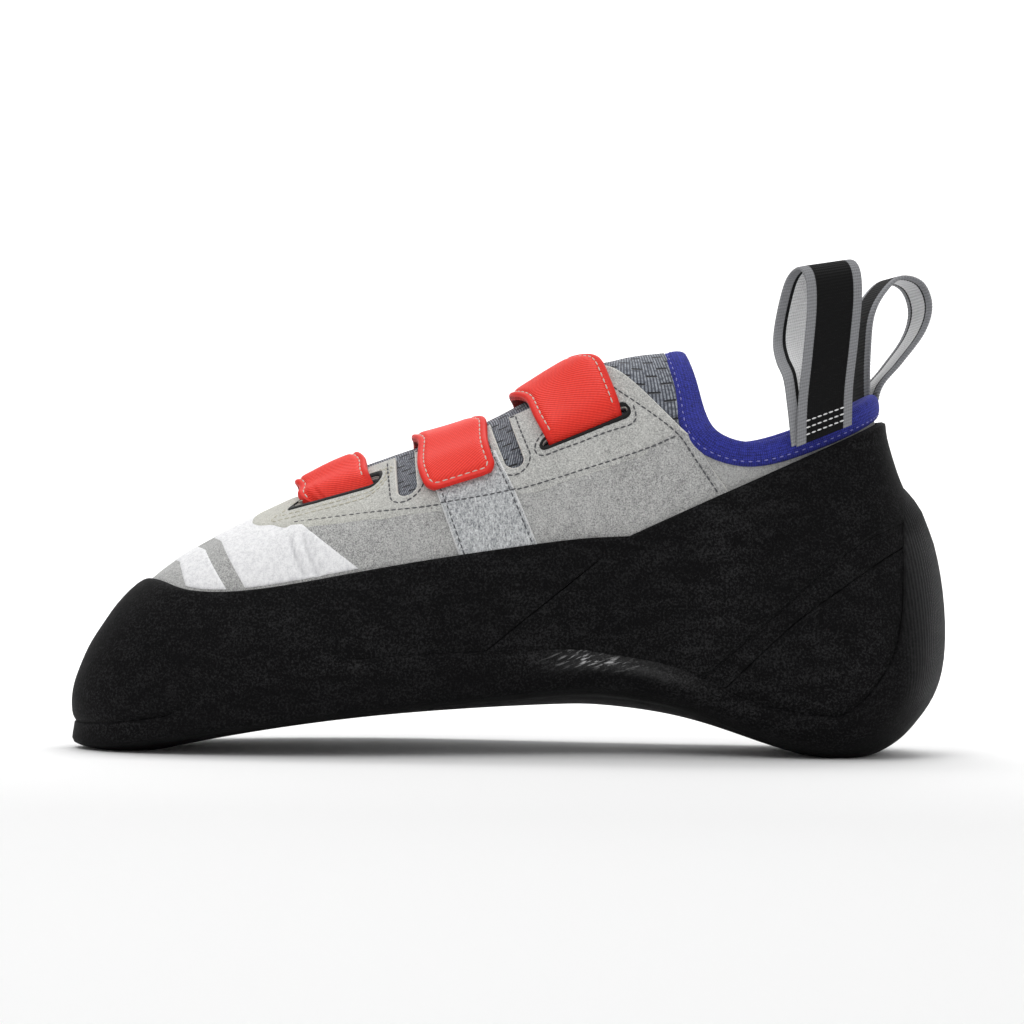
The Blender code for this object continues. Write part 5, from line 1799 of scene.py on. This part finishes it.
fine_start, fine_end = FINE_STATIONS
ahead_q, behind_q = even_stations(0, fine_start, SOLE_STEP), even_stations(fine_end, LAST, SOLE_STEP)
sole_q = np.concatenate([ahead_q[:-1], np.linspace(fine_start, fine_end, FINE_COUNT), behind_q[1:]])
sole_sides = [sole_side(side, sole_q) for side in (-1, 1)]
sole_outsides = [at.ground + at.normal * sole_height(at)[..., None] for at in sole_sides]
sole_seats = [at.ground + at.normal * (SOLE_SEAT - SOLE_SINK) for at in sole_sides]
sole_layers = []
for sides in (sole_outsides, sole_seats):
    sole_layers.append(side_to_side(sides, across_bottom(sides, SOLE_BOW, BOTTOM_COUNT)))
sole_layers[0][..., 2] = np.maximum(sole_layers[0][..., 2], 0)
plain_bottom = np.zeros((len(sole_q), BOTTOM_COUNT, 4)) + (BUFF_UNDER, 0, 0, 0)
sole_marks = side_to_side([sole_wear(at) for at in sole_sides], plain_bottom).reshape(-1, 4)
sole_spread = [
    np.stack([np.interp(at.station, RING_SCAN, RING_LENGTH), run_along(at.ground)], -1) for at in sole_sides
]
sole_spread = side_to_side(sole_spread, np.zeros((len(sole_q), BOTTOM_COUNT, 2))).reshape(-1, 2)
SOLE_RUBBER = sole_rubber()
sole_points, sole_faces = wall(*sole_layers, ends=(False, False))
outsole = new_piece(
    "rubber_outsole", sole_points, sole_faces, [SOLE_RUBBER],
    sharp=50, spread=np.tile(sole_spread, (2, 1)),
    marks=dict(zip(("buff", "gloss", "ribs", "glint_streak"), np.tile(sole_marks, (2, 1)).T)),
)
settle(outsole, "rubber", "outsole")

# Straps: three bands of red coated twill on a red hook tape, with rolled borders and a row of pale thread
# inside each border. Each comes out of its slot, crosses the throat and lands on a patch of loop pile.
STRAP = 2.4
STRAP_REST = 0.6
PATCH_REST = 1.7
SLOT_SINK = 4.2
STRAP_ROW = 2.1
STRAP_PITCH = 2.3
STRAP_THREAD = 1.85
STRAP_BORDER = np.array([0, 0.008, 0.022, 0.045])
STRAP_ACROSS = np.concatenate([STRAP_BORDER, np.linspace(0.07, 0.93, 37), 1 - STRAP_BORDER[::-1]])
STRAP_COUNT = 110
STRAP_EASE = 3.5
STRAP_SHORT = 6.5
STRAP_BULGE = 0.75
EASE_REACH = 9
TWILL_SLANT = 32
TAPE_SHARES = (0.40, 0.0)
TAPE_IN = 0.15
TWILL_SHARE = 0.48
FREE_ROUND = 4.3
BORDER_ROUND = 0.9
BORDER_WIDTH = (1.2, 1.9)
ROW_GROOVE = 0.5
STRAP_ROW_RADIUS = 0.25
STRAP_ROW_STEP = 0.6
STRAP_TOP = 0.985
BORDER_LOW = 0.52
BORDER_RISE = 0.4
GROOVE_SHARE = 0.2
PUFF_SHARE = 0.06


def coated_twill():
    """Red coated twill on the flat cloth: fine slanting cords with a soft sheen on their crests."""
    made = Finish("red_twill", Roughness=0.5, Specular_IOR_Level=0.3)
    place = made.place(cloth=True)
    turned = made.place(turn=(0, 0, math.radians(TWILL_SLANT)), cloth=True)
    cords = made.wave(turned, 0.75, 0.25)
    cross = made.wave(turned, 1.1, 0.2, direction="Y")
    fleck = made.noise(place, 1100, 3, 0.6)
    body = made.mark("body")
    weave = made.maths("MULTIPLY_ADD", cross, 0.15, made.maths("MULTIPLY", cords, 0.85))
    twill = made.maths("MULTIPLY", weave, body)
    shade = made.maths("MULTIPLY_ADD", fleck, 0.35, made.maths("MULTIPLY", twill, 0.6))
    height = made.maths("MULTIPLY_ADD", fleck, 0.25, twill)
    return made.surface(made.mix(shade, tint(206, 26, 18), tint(252, 66, 48)), height, 0.16, 0.8)


def straight_down(land, side, across, v):
    """Stations of a strap's free end that runs straight down the side, at shares of its width."""
    picks = np.linspace(0, len(across) - 1, 9).astype(int)
    rows = []
    for i in picks:
        throat = part_way(land.front, land.rear, across[i])
        foot = part_way(land.foot_front[0], land.foot_rear[0], across[i])
        lengths = throat + (foot - throat) * (1 - v[i]) / (1 - v[i, 0])
        rows.append([station_at(length, share, side) for length, share in zip(lengths, v[i])])
    return at_run(across, across[picks], rows)


def strap_grid(strap, depth):
    """Points of a strap at a depth over its underside: from its free end over the throat to its slot."""
    across = STRAP_ACROSS
    sides, edges, ways = {}, {}, {}
    for side in (-1, 1):
        land = landing_of(strap, side)
        foot_q, foot_v = strap_foot(strap, side, across)[..., None]
        throat = station_at(part_way(land.front, land.rear, across), 1.0, side)
        low = foot_v - SLOT_HALF * (side == strap.slot_side)
        v = part_way(low, STRAP_TOP, np.linspace(0, 1, 26))
        q = throat[:, None] + (foot_q - throat[:, None]) * (1 - v) / (1 - foot_v)
        if side > strap.slot_side:
            q = straight_down(land, side, across, v)
        if side == strap.slot_side:
            rest = STRAP_REST - SLOT_SINK * (1 - smooth_step(v, low, foot_v + 1.6 * SLOT_HALF))
        else:
            rest = part_way(PATCH_REST, STRAP_REST, smooth_step((v - low) / (1 - low), 0.5, 0.85))
        sides[side] = layer(side * q, v, rest + depth)
        edges[side] = layer(side * throat, 1.0, STRAP_REST + depth)
        ways[side] = skin_frame(side * throat, 1.0)[1] * STRAP_BULGE
    peak = part_way(strap.peak_front, strap.peak_rear, across)
    top_station = station_at(part_way(strap.front, strap.rear, across), 1.0, -1)
    top = ridge(top_station, peak[:, None] + depth)
    flat = (edges[1] - edges[-1]) * TONGUE_FLAT
    share = np.linspace(0, 1, 22)
    over = []
    for i in range(len(across)):
        rise, fall = (np.linalg.norm(top[i] - edges[side][i]) * ways[side][i] for side in (-1, 1))
        up = hermite(edges[-1][i], top[i], rise, flat[i], share)
        over.append(np.concatenate([up, hermite(top[i], edges[1][i], flat[i], -fall, share)[1:]]))
    return softened(np.concatenate([sides[-1], over, sides[1][:, ::-1]], 1)[:, :: strap.slot_side])


def softened(grid):
    """Rows of a grid at even steps along the strap, with their kinks eased, from its free end."""
    rows = []
    weights = bell(np.arange(-EASE_REACH, EASE_REACH + 1), STRAP_EASE)
    weights /= weights.sum()
    for row in grid:
        run = run_along(row)
        even = at_run(np.linspace(0, run[-1], STRAP_COUNT), run, row)
        before = 2 * even[0] - even[EASE_REACH:0:-1]
        after = 2 * even[-1] - even[-2 : -EASE_REACH - 2 : -1]
        whole = np.concatenate([before, even, after])
        rows.append(np.stack([np.convolve(column, weights, "valid") for column in whole.T], 1))
    return np.array(rows)


def strap_inset(run, off_middle, wide):
    """How far in from the border each point of a strap lies, up to the radius of its free corners."""
    beyond = np.maximum(np.abs(off_middle) - (wide / 2 - FREE_ROUND), 0)
    near_end = np.maximum(FREE_ROUND - run, 0)
    inset = np.minimum(FREE_ROUND - np.hypot(beyond, near_end), run)
    return np.where((beyond > 0) | (near_end > 0), inset, FREE_ROUND)


def strap_row(run, off_middle, wide, top):
    """Line on a strap's top down one border, round the free end and up the other border."""
    turn = np.linspace(0, math.pi / 2, 8)
    bend = FREE_ROUND - STRAP_ROW
    reach = np.concatenate([[run[-1] - STRAP_SHORT], FREE_ROUND - bend * np.sin(turn)])
    aside = np.concatenate([[wide / 2 - STRAP_ROW], wide / 2 - FREE_ROUND + bend * np.cos(turn)])
    path = np.stack([np.concatenate([reach, reach[::-1]]), np.concatenate([aside, -aside[::-1]])], 1)
    row = []
    for reach, aside in even_line(path, STRAP_ROW_STEP):
        j = np.interp(reach, run, np.arange(STRAP_COUNT))
        columns = (int(j), min(int(j) + 1, STRAP_COUNT - 1))
        here, ahead = (at_run(aside, off_middle[:, column], top[:, column]) for column in columns)
        row.append(part_way(here, ahead, j - int(j)))
    return row


TWILL = coated_twill()
TAPE = woven("red_hook_tape", tint(232, 48, 36), tint(176, 24, 18), 0.8)
for strap in STRAPS:
    under, crest = strap_grid(strap, 0.0), strap_grid(strap, STRAP)
    run = run_along(crest[len(crest) // 2])
    wide = np.linalg.norm(np.diff(crest, axis=0), axis=2).sum(0).mean()
    corner = FREE_ROUND * (1 - np.sqrt(1 - np.clip(1 - run / FREE_ROUND, 0, 1) ** 2))
    off_middle = (STRAP_ACROSS[:, None] - 0.5) * (wide - 2 * corner)
    for j in range(STRAP_COUNT):
        spots = 0.5 + off_middle[:, j] / wide
        for grid in (under, crest):
            grid[:, j] = at_run(spots, STRAP_ACROSS, grid[:, j])
    inset = strap_inset(run, off_middle, wide)
    roll = rounded(inset, BORDER_ROUND)
    groove = bell(inset - STRAP_ROW, ROW_GROOVE)
    puff = smooth_step(inset, STRAP_ROW, FREE_ROUND)
    share = BORDER_LOW + BORDER_RISE * roll - GROOVE_SHARE * groove + PUFF_SHARE * puff
    top = part_way(under, crest, share[..., None])
    points, faces = wall(top, part_way(under, crest, TWILL_SHARE))
    body = np.tile(smooth_step(inset, *BORDER_WIDTH).ravel(), 2)
    flat = np.stack(np.broadcast_arrays(run, off_middle), -1).reshape(-1, 2)
    made = new_piece(
        "red_" + strap.name, points, faces, [TWILL],
        sharp=50, spread=np.tile(flat, (2, 1)), marks={"body": body},
    )
    settle(made, "coated", strap.name)
    tape = [part_way(under, crest, share) for share in TAPE_SHARES]
    spine = tape[1][len(crest) // 2]
    tape = [part_way(spine, face, 1 - 2 * TAPE_IN / wide)[:, 1:] for face in tape]
    points, faces = wall(*tape)
    made = new_piece("hook_tape_" + strap.name, points, faces, [TAPE], sharp=50)
    settle(made, "coated")
    stitches(
        strap.name + "_stitches", [strap_row(run, off_middle, wide, top)], PALE_THREAD, "coated",
        pitch=STRAP_PITCH, length=STRAP_THREAD, radius=STRAP_ROW_RADIUS,
    )

# Pull loops: two lengths of woven webbing at the heel, black down the middle with a grey stripe along
# each edge and pale grey inside, folded into loops and sewn flat to the collar with white thread.
LOOP_WIDTH = 17.0
LOOP_THICK = 1.2
LOOP_STRIPE = 5.2
LOOP_RIB = 1.0
LOOP_RIB_DEPTH = 0.05
LOOP_STEP = 0.25
LOOP_LEVEL = 0.6
LOOP_ROWS = (2.4, 4.4, 6.4)
Loop = namedtuple("Loop", "name x y z facing side slope path")
Step = namedtuple("Step", "out along up")
LOOPS = [
    Loop(
        "pull_loop_medial", 97.0, -22.8, 97.0, 12, -1, 0.40,
        [
            Step(3.4, -4.7, 0), Step(3.6, -4.5, 12), Step(3.8, -3.2, 26), Step(2.6, -1.8, 40),
            Step(-0.5, -1.6, 48.5), Step(-5.5, -2.8, 51.5), Step(-10.5, -5, 48), Step(-13, -7, 38),
            Step(-11.5, -8.3, 30), Step(-6, -8.7, 24.5), Step(0.2, -8.2, 19.5), Step(1.9, -7.4, 12),
            Step(1.9, -6.6, 6), Step(1.9, -5.8, 0),
        ],
    ),
    Loop(
        "pull_loop_lateral", 105.5, 17.5, 102.0, 71, 1, 0.2,
        [
            Step(3.4, 0, 0), Step(5.5, 0, 9), Step(12.3, 0, 17), Step(19.6, 0, 26.6),
            Step(21.9, 0, 35), Step(18.8, 0, 42), Step(11.8, 0, 43.6), Step(6, 0, 38.5),
            Step(2.4, 0, 31), Step(1.4, 0, 20), Step(1.3, 0, 10), Step(1.8, 0, 0),
        ],
    ),
]


def webbing(name, middle, stripe, line):
    """Webbing on the flat cloth: cross ribs, a middle and two edge stripes, and a thin line between."""
    made = Finish(name, Roughness=0.8, Specular_IOR_Level=0.2)
    place = made.place(cloth=True)
    split = made.node("ShaderNodeSeparateXYZ", {"Vector": place})
    off = made.maths("ABSOLUTE", split.outputs["Y"])
    ribs = made.wave(place, LOOP_RIB, 0.3)
    warp = made.wave(place, 0.6, 0.5, direction="Y")
    fleck = made.noise(place, 1200, 3, 0.6)
    weave = made.maths("MULTIPLY_ADD", warp, 0.4, made.maths("MULTIPLY", ribs, 0.6))
    in_stripe = made.span(off, (LOOP_STRIPE - 0.1) * MM, (LOOP_STRIPE + 0.1) * MM)
    from_line = made.maths("ABSOLUTE", made.maths("SUBTRACT", off, LOOP_STRIPE * MM))
    in_line = made.span(from_line, 0.45 * MM, 0.6 * MM, 1, 0)
    ground = made.mix(in_line, made.mix(in_stripe, middle, stripe), line)
    shade = made.span(made.maths("MULTIPLY_ADD", fleck, 0.5, weave), 0.2, 1.1, 0.45, 1.0)
    dark = made.mix(0.65, ground, (0, 0, 0, 1))
    return made.surface(made.mix(shade, dark, ground), weave, 0.2, 0.9)


WEB_FACE = webbing("webbing_face", tint(9, 9, 10), tint(140, 141, 144), tint(7, 7, 8))
WEB_BACK = webbing("webbing_back", tint(234, 234, 235), tint(150, 151, 154), tint(14, 14, 15))
WHITE_THREAD = thread("white_thread", tint(240, 240, 240), tint(200, 200, 202))
for loop in LOOPS:
    face = math.radians(loop.facing)
    out = np.array([math.sin(face), loop.side * math.cos(face), 0])
    along = np.array([math.cos(face), -loop.side * math.sin(face), 0])
    up = np.array([0, 0, 1.0])
    steps = np.array(loop.path, float)
    coarse = hermite_line(steps, np.linspace(0, len(steps) - 1, 600))
    run = run_along(coarse)
    even = np.linspace(0, run[-1], int(run[-1] / LOOP_STEP))
    path = at_run(even, run, coarse)
    base = np.array([loop.x, loop.y, loop.z])
    centre = base + path[:, :1] * out + path[:, 1:2] * along + path[:, 2:] * up
    normal = unit(np.cross(along, np.gradient(centre, axis=0)))
    lean = up * loop.slope * (1 - LOOP_LEVEL * path[:, 2:] / path[:, 2].max())
    across = np.concatenate([[-0.5, -0.49, -0.47], np.linspace(-0.44, 0.44, 17), [0.47, 0.49, 0.5]])
    selvedge = np.sqrt(1 - (np.abs(across) / 0.5) ** 12)
    rib = LOOP_RIB_DEPTH * np.sin(2 * math.pi * even / LOOP_RIB)
    faces_of_web = []
    for way in (-1, 1):
        half = way * (LOOP_THICK / 2 * (0.4 + 0.6 * selvedge)[None] + rib[:, None])
        across_way = (along + lean)[:, None] * LOOP_WIDTH * across[None, :, None]
        faces_of_web.append(centre[:, None] + across_way + normal[:, None] * half[..., None])
    points, faces = wall(*faces_of_web)
    flat = np.stack(np.broadcast_arrays(even[:, None], across[None] * LOOP_WIDTH), -1).reshape(-1, 2)
    count = len(points) // 2
    front = ((centre - centre.mean(0)) * normal).sum() < 0
    wears = (faces < count).all(1) != front
    made = new_piece(
        loop.name.replace("pull_loop", "webbing_loop"), points, faces, [WEB_FACE, WEB_BACK],
        spread=np.tile(flat, (2, 1)), wears=wears,
    )
    settle(made, "webbing", loop.name)
    rows = []
    for reach in LOOP_ROWS:
        at = np.abs(even - reach).argmin()
        spots = np.linspace(-LOOP_STRIPE, LOOP_STRIPE, 12)[:, None] * (along + lean[at])
        rows.append(centre[at] + spots + normal[at] * (-1 if front else 1) * (LOOP_THICK / 2 + 0.12))
    stitches(loop.name + "_stitches", rows, WHITE_THREAD, "webbing", pitch=1.7, length=1.45, radius=0.26)

# Studio: a white floor that sweeps up behind the shoe, four soft lamps and a pale sky, and the camera
# of the picture, level with the shoe on its inner side and rolled so that the heel stands lower.
FLOOR_FRONT = 6.0
FLOOR_BACK = 0.9
FLOOR_SWEEP = 0.5
FLOOR_HALF = 2.5
FLOOR_RISE = 1.6
CAMERA_LENS = 150.0
CAMERA_SENSOR = 36.0
CAMERA_WIDTH = 0.313
CAMERA_AIM = (0.0, 0.0, 0.0726)
CAMERA_LIFT = 1.0
CAMERA_ROLL = 0.7

floor_line = [(-FLOOR_FRONT, 0.0), (0.0, 0.0)]
for turn in np.radians(np.linspace(0, 90, 13)):
    floor_line.append((FLOOR_BACK + FLOOR_SWEEP * math.sin(turn), FLOOR_SWEEP * (1 - math.cos(turn))))
floor_line.append((FLOOR_BACK + FLOOR_SWEEP, FLOOR_RISE))
floor_points = np.array([[(x, y, z) for y, z in floor_line] for x in (-FLOOR_HALF, FLOOR_HALF)])
floor_mesh = bpy.data.meshes.new("floor")
floor_faces = grid_faces(2, len(floor_line), False)
floor_mesh.from_pydata(floor_points.reshape(-1, 3).tolist(), [], floor_faces.tolist())
floor_mesh.shade_smooth()
FLOOR_PAINT = Finish("pale_floor", Roughness=0.9)
FLOOR_PAINT.give("Base Color", (0.9, 0.9, 0.9, 1))
floor_mesh.materials.append(FLOOR_PAINT.material)
floor = add_object("floor", floor_mesh)


def lamp(name, place, aim, size, power):
    """Square soft lamp at a place, turned to what it lights."""
    light = bpy.data.lights.new(name, "AREA")
    light.energy = power
    light.size = size
    made = add_object(name, light)
    made.location = place
    made.rotation_euler = (Vector(aim) - Vector(place)).to_track_quat("-Z", "Y").to_euler()


lamp("key_lamp", (-0.5, -0.9, 1.1), (0, 0, 0.05), 0.8, 6.5)
lamp("fill_lamp", (0.9, -1.0, 0.5), (0, 0, 0.06), 0.9, 2.2)
lamp("top_lamp", (0.1, 0.3, 1.3), (0, 0, 0.05), 1.0, 6)
lamp("back_lamp", (0, 0.45, 1.0), (0, 1.4, 0.35), 1.2, 14)

sky = bpy.data.worlds.new("pale_sky")
sky.use_nodes = True
sky_light = sky.node_tree.nodes["Background"].inputs
sky_light["Color"].default_value = (1, 1, 1, 1)
sky_light["Strength"].default_value = 0.45
scene = bpy.context.scene
scene.world = sky
scene.view_settings.view_transform = "Standard"

camera_data = bpy.data.cameras.new("camera")
camera_data.lens = CAMERA_LENS
camera_data.sensor_width = CAMERA_SENSOR
camera = add_object("camera", camera_data)
camera_far = CAMERA_WIDTH * CAMERA_LENS / CAMERA_SENSOR
lift = math.radians(CAMERA_LIFT)
aim = Vector(CAMERA_AIM)
camera.location = aim + camera_far * Vector((0, -math.cos(lift), math.sin(lift)))
camera.rotation_euler = (aim - camera.location).to_track_quat("-Z", "Y").to_euler()
camera.rotation_euler.rotate_axis("Z", math.radians(CAMERA_ROLL))
scene.camera = camera
